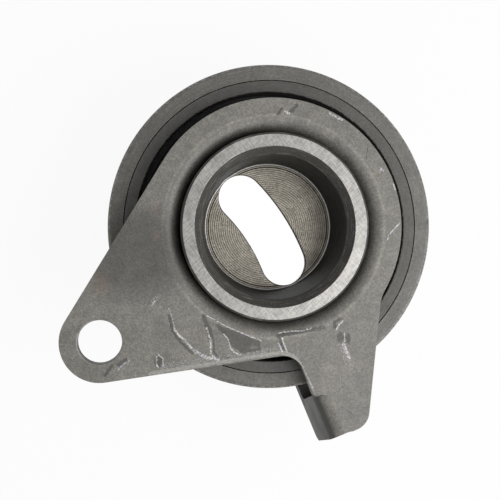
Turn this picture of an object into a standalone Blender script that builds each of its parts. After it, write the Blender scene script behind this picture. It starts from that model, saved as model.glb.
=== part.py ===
"""Timing belt tensioner pulley.

A stamped steel arm carries a turned hub. A sealed ball bearing sits on the hub and carries
the smooth pulley. The arm swings about its pivot hole, and a curved slot in the hub's web
lets the lock bolt follow that swing. A folded tab on the arm's leg takes the spring's hook.

The hub's axis is vertical and the pulley lies on its lower face, at height zero.
Sizes are in metres. In the plan, X is right and Y is up; the arm is on the upper side.
"""

import math

import bmesh
import bpy
from mathutils import Matrix, Vector

MM = 0.001

# Fits
FIT_GAP = 0.3 * MM
BALL_GAP = 0.2 * MM
CAGE_GAP = 0.4 * MM

# Pulley shell and outer ring
PULLEY_WIDTH = 28.0 * MM
SHELL_WALL = 2.8 * MM
SHELL_EDGE_ROUND = 0.7 * MM
RING_CHAMFER = 0.25 * MM
OUTER_RING_WALL = 2.2 * MM

# Bearing
BALL_COUNT = 14
BALL_RADIUS = 3.175 * MM
RACE_DEPTH = 1.4 * MM
RACE_WALL = 1.775 * MM
SEAL_THICKNESS = 1.2 * MM
SEAL_WEB_THICKNESS = 0.7 * MM
SEAL_BEAD_WIDTH = 1.3 * MM
SEAL_LIP_WIDTH = 1.0 * MM
SEAL_LIP_GAP = 0.3 * MM
SEAL_GROOVE_DEPTH = 0.5 * MM
CAGE_BACK = 1.0 * MM
CAGE_PRONG = 1.6 * MM
CAGE_SEAL_GAP = 1.5 * MM

# Hub
HUB_RADIUS = 17.4 * MM
HUB_PROUD = 1.6 * MM
HUB_FOOT = 0.5 * MM
HUB_EDGE_CHAMFER = 0.2 * MM
HUB_SHOULDER_REACH = 2.6 * MM
HUB_SHOULDER_THICKNESS = 3.0 * MM
HUB_FACE_WIDTH = 2.35 * MM
MOUTH_CHAMFER_WIDTH = 1.5 * MM
MOUTH_CHAMFER_DEPTH = 1.5 * MM
WELL_DEPTH = 13.2 * MM
WELL_TAPER = 1.1 * MM
WELL_FILLET = 0.5 * MM
WEB_THICKNESS = 4.0 * MM
RECESS_WALL = 2.8 * MM
RECESS_CHAMFER = 0.8 * MM

# Slot in the hub's web, curved about the pivot hole
SLOT_WIDTH = 8.7 * MM
SLOT_INSET = 0.5 * MM
SLOT_END_GAP = 0.4 * MM
SLOT_EDGE_ROUND = 0.3 * MM
SLOT_DRAFT = 0.35 * MM

# Arm plate
PLATE_THICKNESS = 3.8 * MM
PLATE_CLEARANCE = 2.4 * MM
PLATE_EDGE_ROUND = 0.6 * MM
HEAD_RIM = 6.7 * MM
PIVOT_DISTANCE = 38.8 * MM
PIVOT_ANGLE = math.radians(213.7)
PIVOT_END_RADIUS = 7.5 * MM
PIVOT_HOLE_RADIUS = 4.1 * MM
COLLAR_ROLL_RADIUS = 2.95 * MM
COLLAR_WALL = 2.4 * MM
COLLAR_HEIGHT = 6.1 * MM
COLLAR_FILLET = 0.8 * MM

# Leg of the arm plate: its left edge passes the hub's axis at an offset, and its right edge meets
# the foot at the foot's width from there
LEG_ANGLE = math.radians(-67.1)
LEG_LEFT_OFFSET = 5.2 * MM
LEG_RIGHT_ANGLE = math.radians(-5.3)
LEG_FOOT_WIDTH = 7.38 * MM
LEG_OVERHANG = 10.2 * MM
LEG_CORNER_RADIUS = 3.7 * MM
LEG_LEFT_FILLET = 4.1 * MM
LEG_RIGHT_FILLET = 7.4 * MM

# Spring tab, folded down from the leg's left edge
TAB_CLEARANCE = 0.9 * MM
TAB_LENGTH = 9.1 * MM
TAB_DEPTH = 20.4 * MM
TAB_SLANT = math.radians(10.9)
TAB_LEAN = math.radians(3.0)
TAB_BEND_RADIUS = 3.0 * MM
TAB_INNER_RADIUS = 0.4 * MM
TAB_CORNER_RADIUS = 1.6 * MM
HORN_HEIGHT = 3.7 * MM
HORN_CORNER_RADIUS = 0.7 * MM

# Facets
RING_SEGMENTS = 72
HIDDEN_SEGMENTS = 48
PLAN_ARC_STEP = math.radians(6.0)
SMALL_ARC_STEPS = 2
PIVOT_END_STEPS = 14
PIVOT_HOLE_SEGMENTS = 30
LEG_CORNER_STEPS = 7
COLLAR_ROLL_STEPS = 6
COLLAR_FILLET_STEPS = 3
SLOT_END_STEPS = 10
RACE_STEPS = 4
CAGE_FACETS_PER_BALL = 4
POCKET_SEGMENTS = 16
BALL_MERIDIANS = 12
BALL_PARALLELS = 8
SMOOTH_ANGLE = math.radians(35.0)
ROUND_PROFILE = 0.5
WELD = 1e-7
CUT_MARGIN = 1.0 * MM
JOIN_OVERLAP = 0.5 * MM

# Heights, from the pulley's lower face
BEARING_HEIGHT = PULLEY_WIDTH / 2
PLATE_LOW = PULLEY_WIDTH + PLATE_CLEARANCE
PLATE_TOP = PLATE_LOW + PLATE_THICKNESS
HUB_TOP = PLATE_TOP + HUB_PROUD
COLLAR_LOW = PLATE_TOP - COLLAR_HEIGHT
SHOULDER_TOP = COLLAR_LOW - FIT_GAP
SHOULDER_LOW = SHOULDER_TOP - HUB_SHOULDER_THICKNESS
INNER_RING_TOP = SHOULDER_LOW - FIT_GAP
INNER_RING_LOW = PULLEY_WIDTH - INNER_RING_TOP
HUB_LOW = INNER_RING_LOW - HUB_FOOT
WELL_FLOOR = HUB_TOP - WELL_DEPTH
WEB_LOW = WELL_FLOOR - WEB_THICKNESS

# Radii of the bearing, from the hub outwards to the pulley
INNER_RING_BORE = HUB_RADIUS + FIT_GAP
RACE_RADIUS = BALL_RADIUS + BALL_GAP
PITCH_RADIUS = INNER_RING_BORE + RACE_WALL + RACE_RADIUS
INNER_LAND_RADIUS = PITCH_RADIUS - RACE_RADIUS + RACE_DEPTH
OUTER_LAND_RADIUS = PITCH_RADIUS + RACE_RADIUS - RACE_DEPTH
OUTER_RING_RADIUS = PITCH_RADIUS + RACE_RADIUS + RACE_WALL
OUTER_BORE = OUTER_RING_RADIUS - OUTER_RING_WALL
SHELL_BORE = OUTER_RING_RADIUS + FIT_GAP
PULLEY_RADIUS = SHELL_BORE + SHELL_WALL

# Half widths of the cage below the balls and of the outer ring's land, from the balls' centres
CAGE_REACH = BALL_RADIUS + FIT_GAP + CAGE_BACK
OUTER_LAND_REACH = CAGE_REACH + CAGE_SEAL_GAP

# Radii of the hub's well and recess
HUB_SHOULDER_RADIUS = HUB_RADIUS + HUB_SHOULDER_REACH
MOUTH_RADIUS = HUB_RADIUS - HUB_FACE_WIDTH
WELL_WALL_RADIUS = MOUTH_RADIUS - MOUTH_CHAMFER_WIDTH
WELL_FLOOR_RADIUS = WELL_WALL_RADIUS - WELL_TAPER
RECESS_RADIUS = HUB_RADIUS - RECESS_WALL

# Radii of the arm plate's head, and the reach of its leg
COLLAR_BORE = HUB_RADIUS + FIT_GAP
HEAD_RADIUS = HUB_RADIUS + HEAD_RIM
LEG_RADIUS = PULLEY_RADIUS + LEG_OVERHANG

PIVOT = Vector((math.cos(PIVOT_ANGLE), math.sin(PIVOT_ANGLE))) * PIVOT_DISTANCE
LEG_DOWN = Vector((math.cos(LEG_ANGLE), math.sin(LEG_ANGLE)))
LEG_OUT = Vector((LEG_DOWN.y, -LEG_DOWN.x))
LEG_RIGHT = Vector((math.cos(LEG_RIGHT_ANGLE), math.sin(LEG_RIGHT_ANGLE)))
LEG_FOOT_CORNER = LEG_DOWN * LEG_RADIUS + LEG_OUT * (LEG_LEFT_OFFSET - LEG_FOOT_WIDTH)
LEG_RIGHT_OFFSET = LEG_RIGHT.dot(LEG_FOOT_CORNER)


def clear_scene():
    """Empty the scene, whatever file it runs in."""
    for item in list(bpy.data.objects):
        bpy.data.objects.remove(item, do_unlink=True)


def angle_of(vector):
    """Angle of a vector in the plane."""
    return math.atan2(vector[1], vector[0])


def arc(centre, radius, start, end, steps=None):
    """Points of an arc, both ends included; it turns the way that start to end says."""
    steps = steps or math.ceil(abs(end - start) / PLAN_ARC_STEP)
    turns = [start + (end - start) * i / steps for i in range(steps + 1)]
    return [(centre[0] + radius * math.cos(a), centre[1] + radius * math.sin(a)) for a in turns]


def circle(centre, radius, segments):
    """Points of a full circle."""
    return arc(centre, radius, 0, math.tau, segments)[:-1]


def rounded_polygon(corners):
    """Points of a polygon whose corners (x, y, radius) are rounded."""
    points = []
    for i, (x, y, radius) in enumerate(corners):
        here = Vector((x, y))
        before = (Vector(corners[i - 1][:2]) - here).normalized()
        after = (Vector(corners[(i + 1) % len(corners)][:2]) - here).normalized()
        if radius == 0:
            points.append((x, y))
            continue
        half = before.angle(after) / 2
        centre = here + (before + after).normalized() * radius / math.sin(half)
        first = angle_of(here + before * radius / math.tan(half) - centre)
        last = angle_of(here + after * radius / math.tan(half) - centre)
        turn = (last - first + math.pi) % math.tau - math.pi
        points += arc(centre, radius, first, first + turn, SMALL_ARC_STEPS)
    return points


def make_material(name, colour, metallic, roughness):
    """A plain Principled material."""
    material = bpy.data.materials.new(name)
    material.use_nodes = True
    shader = material.node_tree.nodes["Principled BSDF"]
    shader.inputs["Base Color"].default_value = (*colour, 1.0)
    shader.inputs["Metallic"].default_value = metallic
    shader.inputs["Roughness"].default_value = roughness
    return material


def mesh_from(shape, name):
    """Turn a bmesh into a mesh with its faces pointing out."""
    bmesh.ops.remove_doubles(shape, verts=shape.verts, dist=WELD)
    bmesh.ops.recalc_face_normals(shape, faces=shape.faces)
    mesh = bpy.data.meshes.new(name)
    shape.to_mesh(mesh)
    shape.free()
    mesh.shade_smooth()
    mesh.set_sharp_from_angle(angle=SMOOTH_ANGLE)
    return mesh


def add_object(name, mesh, material, parent, location=(0.0, 0.0, 0.0)):
    """Link a named object of the part."""
    item = bpy.data.objects.new(name, mesh)
    bpy.context.collection.objects.link(item)
    item.parent = parent
    item.location = location
    if material:
        mesh.materials.clear()
        mesh.materials.append(material)
    return item


def add_helper(name, mesh, parent):
    """Link a shape that only cuts, trims or adds to another one."""
    item = add_object(name, mesh, None, parent)
    item.hide_render = True
    item.display_type = "WIRE"
    return item


def add_empty(name, parent, location=(0.0, 0.0, 0.0)):
    """Link an empty that holds pieces together."""
    return add_object(name, None, None, parent, location)


def combine(item, other, operation):
    """Add a Boolean modifier."""
    modifier = item.modifiers.new(other.name, "BOOLEAN")
    modifier.operation = operation
    modifier.object = other
    modifier.solver = "EXACT"


def turned_mesh(name, profile, segments, closed=True):
    """Spin a profile of (radius, height) about the vertical axis."""
    shape = bmesh.new()
    verts = [shape.verts.new((r, 0.0, z)) for r, z in profile]
    pairs = list(zip(verts, verts[1:]))
    if closed:
        pairs.append((verts[-1], verts[0]))
    edges = [shape.edges.new(pair) for pair in pairs]
    bmesh.ops.spin(
        shape, geom=verts + edges, cent=(0, 0, 0), axis=(0, 0, 1),
        angle=math.tau, steps=segments, use_merge=True,
    )
    return mesh_from(shape, name)


def prism(outline, low, high):
    """Extrude a plane outline from one height to another."""
    shape = bmesh.new()
    base = shape.faces.new([shape.verts.new((x, y, low)) for x, y in outline])
    result = bmesh.ops.extrude_face_region(shape, geom=[base])
    raised = [v for v in result["geom"] if isinstance(v, bmesh.types.BMVert)]
    bmesh.ops.translate(shape, verts=raised, vec=(0, 0, high - low))
    return shape


def lofted(outlines):
    """Solid through plane outlines of equal length, each given with its height, from low to high."""
    shape = bmesh.new()
    rings = [[shape.verts.new((x, y, z)) for x, y in outline] for outline, z in outlines]
    for low, high in zip(rings, rings[1:]):
        for i in range(len(low)):
            shape.faces.new((low[i - 1], low[i], high[i], high[i - 1]))
    shape.faces.new(rings[0])
    shape.faces.new(rings[-1])
    return shape


def mirrored_profile(half):
    """Close a profile given for z >= 0 by its mirror image below."""
    return half + [(r, -z) for r, z in reversed(half)]


def lifted(profile, height):
    """Raise a profile."""
    return [(r, z + height) for r, z in profile]


def race_points(land_radius, side):
    """Upper half of a ball groove, from its deepest point to the land; side is +1 or -1."""
    reach = abs(land_radius - PITCH_RADIUS)
    end = math.acos(reach / RACE_RADIUS)
    turns = [end * i / RACE_STEPS for i in range(RACE_STEPS + 1)]
    return [
        (PITCH_RADIUS + side * RACE_RADIUS * math.cos(a), RACE_RADIUS * math.sin(a))
        for a in turns[1:]
    ]


def make_pulley_shell(parent):
    """The smooth sleeve that the belt runs on."""
    half = PULLEY_WIDTH / 2
    corner = (PULLEY_RADIUS - SHELL_EDGE_ROUND, half - SHELL_EDGE_ROUND)
    edge = arc(corner, SHELL_EDGE_ROUND, 0, math.pi / 2, SMALL_ARC_STEPS)
    mouth = [(SHELL_BORE + RING_CHAMFER, half), (SHELL_BORE, half - RING_CHAMFER)]
    profile = mirrored_profile(edge + mouth)
    mesh = turned_mesh("pulley_shell", profile, RING_SEGMENTS)
    material = make_material("shell_steel", (0.16, 0.155, 0.145), 0.8, 0.5)
    return add_object("pulley_shell", mesh, material, parent)


def make_outer_ring(parent):
    """The bearing's outer ring, as wide as the pulley, with a deep bore at each end."""
    half = PULLEY_WIDTH / 2
    land = OUTER_LAND_REACH
    groove_top = land + SEAL_THICKNESS + 2 * FIT_GAP
    profile = mirrored_profile(
        list(reversed([
            *race_points(OUTER_LAND_RADIUS, 1),
            (OUTER_LAND_RADIUS, land),
            (OUTER_BORE + SEAL_GROOVE_DEPTH, land),
            (OUTER_BORE + SEAL_GROOVE_DEPTH, groove_top),
            (OUTER_BORE, groove_top + SEAL_GROOVE_DEPTH),
            (OUTER_BORE, half - RING_CHAMFER),
            (OUTER_BORE + RING_CHAMFER, half),
            (OUTER_RING_RADIUS - RING_CHAMFER, half),
            (OUTER_RING_RADIUS, half - RING_CHAMFER),
        ]))
    )
    mesh = turned_mesh("outer_ring", profile, RING_SEGMENTS)
    material = make_material("outer_ring_steel", (0.14, 0.137, 0.13), 0.85, 0.45)
    return add_object("outer_ring", mesh, material, parent)


def make_inner_ring(parent):
    """The bearing's inner ring, pressed on the hub against its shoulder."""
    centre = BEARING_HEIGHT
    top = INNER_RING_TOP - centre
    low = INNER_RING_LOW - centre
    race = race_points(INNER_LAND_RADIUS, -1)
    profile = [
        (INNER_RING_BORE, low + RING_CHAMFER),
        (INNER_RING_BORE + RING_CHAMFER, low),
        (INNER_LAND_RADIUS - RING_CHAMFER, low),
        (INNER_LAND_RADIUS, low + RING_CHAMFER),
        *[(r, -z) for r, z in reversed(race)],
        *race,
        (INNER_LAND_RADIUS, top - RING_CHAMFER),
        (INNER_LAND_RADIUS - RING_CHAMFER, top),
        (INNER_RING_BORE + RING_CHAMFER, top),
        (INNER_RING_BORE, top - RING_CHAMFER),
    ]
    mesh = turned_mesh("inner_ring", lifted(profile, centre), HIDDEN_SEGMENTS)
    material = make_material("inner_ring_steel", (0.45, 0.44, 0.43), 1.0, 0.3)
    return add_object("inner_ring", mesh, material, parent)


def make_seal(name, side, material, parent):
    """A moulded seal: a bead in the outer ring's groove, a thin web and a lip at the inner ring."""
    low = OUTER_LAND_REACH + FIT_GAP
    high = low + SEAL_THICKNESS
    rim = OUTER_BORE + SEAL_GROOVE_DEPTH - FIT_GAP
    lip = INNER_LAND_RADIUS + SEAL_LIP_GAP
    web_low = high - SEAL_WEB_THICKNESS
    half = [
        (rim, low),
        (rim, high - RING_CHAMFER),
        (rim - RING_CHAMFER, high),
        (rim - SEAL_BEAD_WIDTH, high),
        (rim - SEAL_BEAD_WIDTH - RING_CHAMFER, high - RING_CHAMFER),
        (lip + SEAL_LIP_WIDTH, high - RING_CHAMFER),
        (lip, web_low),
        (lip, low + RING_CHAMFER),
        (lip + SEAL_LIP_WIDTH, web_low - RING_CHAMFER),
        (rim - SEAL_BEAD_WIDTH, web_low - RING_CHAMFER),
        (rim - SEAL_BEAD_WIDTH, low),
    ]
    mesh = turned_mesh(name, [(r, side * z) for r, z in half], HIDDEN_SEGMENTS)
    return add_object(name, mesh, material, parent)


def make_cage(parent):
    """The moulded crown cage: a ring with a snap pocket for each ball, open on its upper side."""
    inner = INNER_LAND_RADIUS + CAGE_GAP
    outer = OUTER_LAND_RADIUS - CAGE_GAP
    profile = [(outer, -CAGE_REACH), (outer, CAGE_PRONG), (inner, CAGE_PRONG), (inner, -CAGE_REACH)]
    mesh = turned_mesh("cage", profile, BALL_COUNT * CAGE_FACETS_PER_BALL)
    material = make_material("cage_nylon", (0.5, 0.42, 0.28), 0.0, 0.5)
    cage = add_object("cage", mesh, material, parent)
    pockets = bmesh.new()
    for i in range(BALL_COUNT):
        turn = Matrix.Rotation(math.tau * i / BALL_COUNT, 4, "Z")
        place = turn @ Matrix.Translation((PITCH_RADIUS, 0, 0)) @ Matrix.Rotation(math.pi / 2, 4, "Y")
        bmesh.ops.create_cone(
            pockets, cap_ends=True, segments=POCKET_SEGMENTS, matrix=place,
            radius1=BALL_RADIUS + FIT_GAP, radius2=BALL_RADIUS + FIT_GAP,
            depth=outer - inner + 2 * CUT_MARGIN,
        )
    combine(cage, add_helper("cage_pockets", mesh_from(pockets, "cage_pockets"), parent), "DIFFERENCE")
    return cage


def make_balls(parent):
    """The ring of bearing balls, each one its own piece."""
    shape = bmesh.new()
    bmesh.ops.create_uvsphere(shape, u_segments=BALL_MERIDIANS, v_segments=BALL_PARALLELS, radius=BALL_RADIUS)
    mesh = mesh_from(shape, "ball")
    material = make_material("ball_steel", (0.75, 0.75, 0.75), 1.0, 0.08)
    balls = []
    for i in range(BALL_COUNT):
        turn = math.tau * i / BALL_COUNT
        place = (PITCH_RADIUS * math.cos(turn), PITCH_RADIUS * math.sin(turn), 0.0)
        ball = add_object(f"ball_{i + 1:02d}", mesh, material, parent, place)
        ball.rotation_euler.z = turn
        balls.append(ball)
    return balls


def slot_outline(spread):
    """The lock bolt's slot: an arc about the pivot hole with round ends, wider by spread on every side."""
    radius = PIVOT_DISTANCE - SLOT_INSET
    end_reach = WELL_FLOOR_RADIUS - SLOT_END_GAP - SLOT_WIDTH / 2
    swing = math.asin(end_reach / radius)
    middle = PIVOT_ANGLE - math.pi
    start, end = middle - swing, middle + swing
    ends = [PIVOT + radius * Vector((math.cos(a), math.sin(a))) for a in (start, end)]
    half = SLOT_WIDTH / 2 + spread
    return (
        arc(PIVOT, radius + half, start, end)[:-1]
        + arc(ends[1], half, end, end + math.pi, SLOT_END_STEPS)[:-1]
        + arc(PIVOT, radius - half, end, start)[:-1]
        + arc(ends[0], half, start + math.pi, start + math.tau, SLOT_END_STEPS)[:-1]
    )


def make_slot_cutter(parent):
    """The slot with its edge rounded at the well's floor and its sides drawn outwards below."""
    cutter = lofted([
        (slot_outline(SLOT_DRAFT), WEB_LOW - CUT_MARGIN),
        (slot_outline(SLOT_DRAFT), WEB_LOW),
        (slot_outline(0), WELL_FLOOR - SLOT_EDGE_ROUND),
        (slot_outline(SLOT_EDGE_ROUND), WELL_FLOOR),
        (slot_outline(SLOT_EDGE_ROUND), WELL_FLOOR + CUT_MARGIN),
    ])
    return add_helper("hub_slot", mesh_from(cutter, "hub_slot"), parent)


def make_hub(parent):
    """The turned hub: a ground face, a well for the bolt's seat, a slotted web and a recess below."""
    fillet_centre = (WELL_FLOOR_RADIUS - WELL_FILLET, WELL_FLOOR + WELL_FILLET)
    profile = [
        (0, WELL_FLOOR),
        *arc(fillet_centre, WELL_FILLET, -math.pi / 2, 0, SMALL_ARC_STEPS),
        (WELL_WALL_RADIUS, HUB_TOP - MOUTH_CHAMFER_DEPTH),
        (MOUTH_RADIUS, HUB_TOP),
        (HUB_RADIUS - HUB_EDGE_CHAMFER, HUB_TOP),
        (HUB_RADIUS, HUB_TOP - HUB_EDGE_CHAMFER),
        (HUB_RADIUS, SHOULDER_TOP),
        (HUB_SHOULDER_RADIUS, SHOULDER_TOP),
        (HUB_SHOULDER_RADIUS, SHOULDER_LOW),
        (HUB_RADIUS, SHOULDER_LOW),
        (HUB_RADIUS, HUB_LOW + HUB_EDGE_CHAMFER),
        (HUB_RADIUS - HUB_EDGE_CHAMFER, HUB_LOW),
        (RECESS_RADIUS + RECESS_CHAMFER, HUB_LOW),
        (RECESS_RADIUS, HUB_LOW + RECESS_CHAMFER),
        (RECESS_RADIUS, WEB_LOW),
        (0, WEB_LOW),
    ]
    mesh = turned_mesh("hub", profile, RING_SEGMENTS, closed=False)
    hub = add_object("hub", mesh, make_material("hub_steel", (0.42, 0.41, 0.38), 0.95, 0.35), parent)
    combine(hub, make_slot_cutter(parent), "DIFFERENCE")
    return hub


def in_leg(down, out):
    """Plan point given along the leg and outwards from the leg's centre line through the hub."""
    return LEG_DOWN * down + LEG_OUT * out


def plate_outline(tab_root):
    """Plan of the arm plate; beside the tab its edge lies at tab_root, inside the bend."""
    spread = math.acos((HEAD_RADIUS - PIVOT_END_RADIUS) / PIVOT_DISTANCE)
    upper, lower = PIVOT_ANGLE - spread, PIVOT_ANGLE + spread
    lower_normal = Vector((math.cos(lower), math.sin(lower)))

    # Inside corner between the arm's lower edge and the leg's left edge
    reach = Vector((HEAD_RADIUS + LEG_LEFT_FILLET, LEG_LEFT_OFFSET + LEG_LEFT_FILLET))
    left_centre = Matrix((lower_normal, LEG_OUT)).inverted() @ reach

    # Lower right corner of the leg
    across = LEG_RIGHT_OFFSET - LEG_CORNER_RADIUS
    along = math.sqrt((LEG_RADIUS - LEG_CORNER_RADIUS) ** 2 - across ** 2)
    right_down = Vector((LEG_RIGHT.y, -LEG_RIGHT.x))
    corner_centre = LEG_RIGHT * across + right_down * along

    # Inside corner between the leg's right edge and the round head
    across = LEG_RIGHT_OFFSET + LEG_RIGHT_FILLET
    along = math.sqrt((HEAD_RADIUS + LEG_RIGHT_FILLET) ** 2 - across ** 2)
    right_centre = LEG_RIGHT * across + right_down * along

    tab_start = PULLEY_RADIUS + TAB_CLEARANCE + TAB_SLANT * PLATE_THICKNESS
    foot = math.sqrt(LEG_RADIUS ** 2 - tab_root ** 2)
    tab_foot = in_leg(foot, tab_root)
    hub_turn = angle_of(right_centre)
    return (
        arc((0, 0), HEAD_RADIUS, hub_turn, upper)
        + arc(PIVOT, PIVOT_END_RADIUS, upper, lower, PIVOT_END_STEPS)
        + arc(left_centre, LEG_LEFT_FILLET, lower - math.pi, angle_of(-LEG_OUT), LEG_CORNER_STEPS)
        + [tuple(in_leg(tab_start, LEG_LEFT_OFFSET)), tuple(in_leg(tab_start, tab_root))]
        + arc((0, 0), LEG_RADIUS, angle_of(tab_foot), angle_of(corner_centre))[:-1]
        + arc(corner_centre, LEG_CORNER_RADIUS, angle_of(corner_centre), LEG_RIGHT_ANGLE, LEG_CORNER_STEPS)
        + arc(right_centre, LEG_RIGHT_FILLET, LEG_RIGHT_ANGLE + math.pi, hub_turn + math.pi)[:-1]
    )


def make_plate_blank(tab_root):
    """The flat plate with its upper edge rounded, as a press tool leaves it."""
    shape = prism(plate_outline(tab_root), PLATE_LOW, PLATE_TOP)
    top_edges = [e for e in shape.edges if all(v.co.z > PLATE_TOP - WELD for v in e.verts)]
    bmesh.ops.bevel(
        shape, geom=top_edges, offset=PLATE_EDGE_ROUND, segments=SMALL_ARC_STEPS, profile=ROUND_PROFILE,
        affect="EDGES",
    )
    return mesh_from(shape, "arm_plate")


def make_collar(parent):
    """The collar drawn down round the hub, with its rolled shoulder, and the radius of the hole for it."""
    outside = COLLAR_BORE + COLLAR_WALL
    crease = COLLAR_BORE + COLLAR_ROLL_RADIUS
    hole = max(crease, outside + COLLAR_FILLET) + JOIN_OVERLAP
    join = hole + JOIN_OVERLAP
    roll_centre = (crease, PLATE_TOP - COLLAR_ROLL_RADIUS)
    root_centre = (outside + COLLAR_FILLET, PLATE_LOW - COLLAR_FILLET)
    profile = [
        (join, PLATE_TOP),
        *arc(roll_centre, COLLAR_ROLL_RADIUS, math.pi / 2, math.pi, COLLAR_ROLL_STEPS),
        (COLLAR_BORE, COLLAR_LOW),
        (outside, COLLAR_LOW),
        *arc(root_centre, COLLAR_FILLET, math.pi, math.pi / 2, COLLAR_FILLET_STEPS),
        (join, PLATE_LOW),
    ]
    return add_helper("collar", turned_mesh("collar", profile, RING_SEGMENTS), parent), hole


def make_tab(parent, root):
    """The spring tab: a bent section along the leg, trimmed to its slanted outline with its horn."""
    low = PLATE_TOP - TAB_DEPTH
    lean = Vector((math.sin(TAB_LEAN), -math.cos(TAB_LEAN)))
    inward = Vector((-math.cos(TAB_LEAN), -math.sin(TAB_LEAN)))
    corner = Vector((LEG_LEFT_OFFSET, PLATE_TOP))
    outer_end = corner + lean * (TAB_DEPTH + CUT_MARGIN)
    inner_end = outer_end + inward * PLATE_THICKNESS
    inside = corner + inward * PLATE_THICKNESS
    inner_corner = inside + lean * (inside.y - PLATE_LOW) / math.cos(TAB_LEAN)
    section = rounded_polygon([
        (root, PLATE_LOW, 0),
        (*inner_corner, TAB_INNER_RADIUS),
        (*inner_end, 0),
        (*outer_end, 0),
        (*corner, TAB_BEND_RADIUS),
        (root, PLATE_TOP, 0),
    ])
    start = PULLEY_RADIUS + TAB_CLEARANCE
    end = start + TAB_LENGTH
    slope = math.tan(TAB_SLANT)
    shape = prism(section, start - CUT_MARGIN, end + slope * TAB_DEPTH + CUT_MARGIN)
    upright = Matrix((
        (LEG_OUT.x, 0, LEG_DOWN.x, 0),
        (LEG_OUT.y, 0, LEG_DOWN.y, 0),
        (0, 1, 0, 0),
        (0, 0, 0, 1),
    ))
    bmesh.ops.transform(shape, matrix=upright, verts=shape.verts)
    tab = add_helper("tab", mesh_from(shape, "tab"), parent)

    horn_top = low + HORN_HEIGHT
    above = PLATE_TOP + CUT_MARGIN
    outline = rounded_polygon([
        (start - slope * CUT_MARGIN, above, 0),
        (start + slope * (PLATE_TOP - horn_top), horn_top, HORN_CORNER_RADIUS),
        (start, horn_top, HORN_CORNER_RADIUS),
        (start, low, HORN_CORNER_RADIUS),
        (end + slope * TAB_DEPTH, low, TAB_CORNER_RADIUS),
        (end - slope * CUT_MARGIN, above, 0),
    ])
    reach = LEG_LEFT_OFFSET + TAB_DEPTH
    trim = prism(outline, root - CUT_MARGIN, reach)
    facing = Matrix((
        (LEG_DOWN.x, 0, LEG_OUT.x, 0),
        (LEG_DOWN.y, 0, LEG_OUT.y, 0),
        (0, 1, 0, 0),
        (0, 0, 0, 1),
    ))
    bmesh.ops.transform(trim, matrix=facing, verts=trim.verts)
    combine(tab, add_helper("tab_outline", mesh_from(trim, "tab_outline"), parent), "INTERSECT")
    return tab


def make_arm_plate(parent):
    """The stamped arm: plate, collar round the hub, pivot hole, leg and folded spring tab."""
    blank_edge = LEG_LEFT_OFFSET - TAB_BEND_RADIUS - JOIN_OVERLAP
    tab = make_tab(parent, blank_edge - PLATE_EDGE_ROUND - JOIN_OVERLAP)
    collar, hole_radius = make_collar(parent)
    material = make_material("arm_steel", (0.17, 0.165, 0.15), 0.7, 0.5)
    arm = add_object("arm_plate", make_plate_blank(blank_edge), material, parent)
    span = (PLATE_LOW - CUT_MARGIN, PLATE_TOP + CUT_MARGIN)
    hub_hole = prism(circle((0, 0), hole_radius, RING_SEGMENTS), *span)
    pivot_hole = prism(circle(PIVOT, PIVOT_HOLE_RADIUS, PIVOT_HOLE_SEGMENTS), *span)
    combine(arm, tab, "UNION")
    combine(arm, add_helper("hub_hole", mesh_from(hub_hole, "hub_hole"), parent), "DIFFERENCE")
    combine(arm, add_helper("pivot_hole", mesh_from(pivot_hole, "pivot_hole"), parent), "DIFFERENCE")
    combine(arm, collar, "UNION")
    return arm


def stand_on_origin(root, pieces):
    """Put the foot of the box round all the pieces, centred, on the origin."""
    graph = bpy.context.evaluated_depsgraph_get()
    graph.update()
    corners = []
    for piece in pieces:
        shown = piece.evaluated_get(graph)
        mesh = shown.to_mesh()
        corners += [shown.matrix_world @ v.co for v in mesh.vertices]
        shown.to_mesh_clear()
    low = [min(c[i] for c in corners) for i in range(3)]
    high = [max(c[i] for c in corners) for i in range(3)]
    root.location = (-(low[0] + high[0]) / 2, -(low[1] + high[1]) / 2, -low[2])


def main():
    clear_scene()
    root = add_empty("tensioner", None)
    axis = (0.0, 0.0, BEARING_HEIGHT)
    pulley_axis = add_empty("pulley_axis", root, axis)
    cage_axis = add_empty("cage_axis", root, axis)
    seal_rubber = make_material("seal_rubber", (0.02, 0.02, 0.022), 0.0, 0.6)
    pieces = [
        make_arm_plate(root),
        make_hub(root),
        make_inner_ring(root),
        make_outer_ring(pulley_axis),
        make_pulley_shell(pulley_axis),
        make_seal("seal_upper", 1, seal_rubber, pulley_axis),
        make_seal("seal_lower", -1, seal_rubber, pulley_axis),
        make_cage(cage_axis),
        *make_balls(cage_axis),
    ]
    stand_on_origin(root, pieces)


main()
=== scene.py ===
"""Timing belt tensioner pulley: the visible pieces with their finishes, and the stage they are shown on.

Every piece is built about the hub's axis, in metres, and stands on the floor at height zero.
"""

import math

import bmesh
import bpy
from bpy.props import FloatProperty, FloatVectorProperty, PointerProperty
from mathutils import Matrix, Vector


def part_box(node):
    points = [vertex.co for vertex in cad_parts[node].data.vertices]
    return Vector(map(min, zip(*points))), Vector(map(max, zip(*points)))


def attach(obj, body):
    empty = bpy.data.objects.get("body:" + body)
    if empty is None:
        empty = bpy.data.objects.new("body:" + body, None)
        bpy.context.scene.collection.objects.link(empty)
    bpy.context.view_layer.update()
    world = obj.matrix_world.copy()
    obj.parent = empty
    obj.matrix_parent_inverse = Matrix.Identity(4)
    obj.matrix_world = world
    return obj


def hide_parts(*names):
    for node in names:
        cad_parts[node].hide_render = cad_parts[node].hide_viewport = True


bl_info = {
    "name": "Timing belt tensioner pulley",
    "version": (1, 0, 0),
    "blender": (4, 5, 0),
    "location": "3D View > Sidebar > Tensioner",
    "description": "Builds a belt tensioner's arm, hub, bearing and pulley round their CAD frame",
    "category": "Object",
}

MM = 0.001

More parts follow.
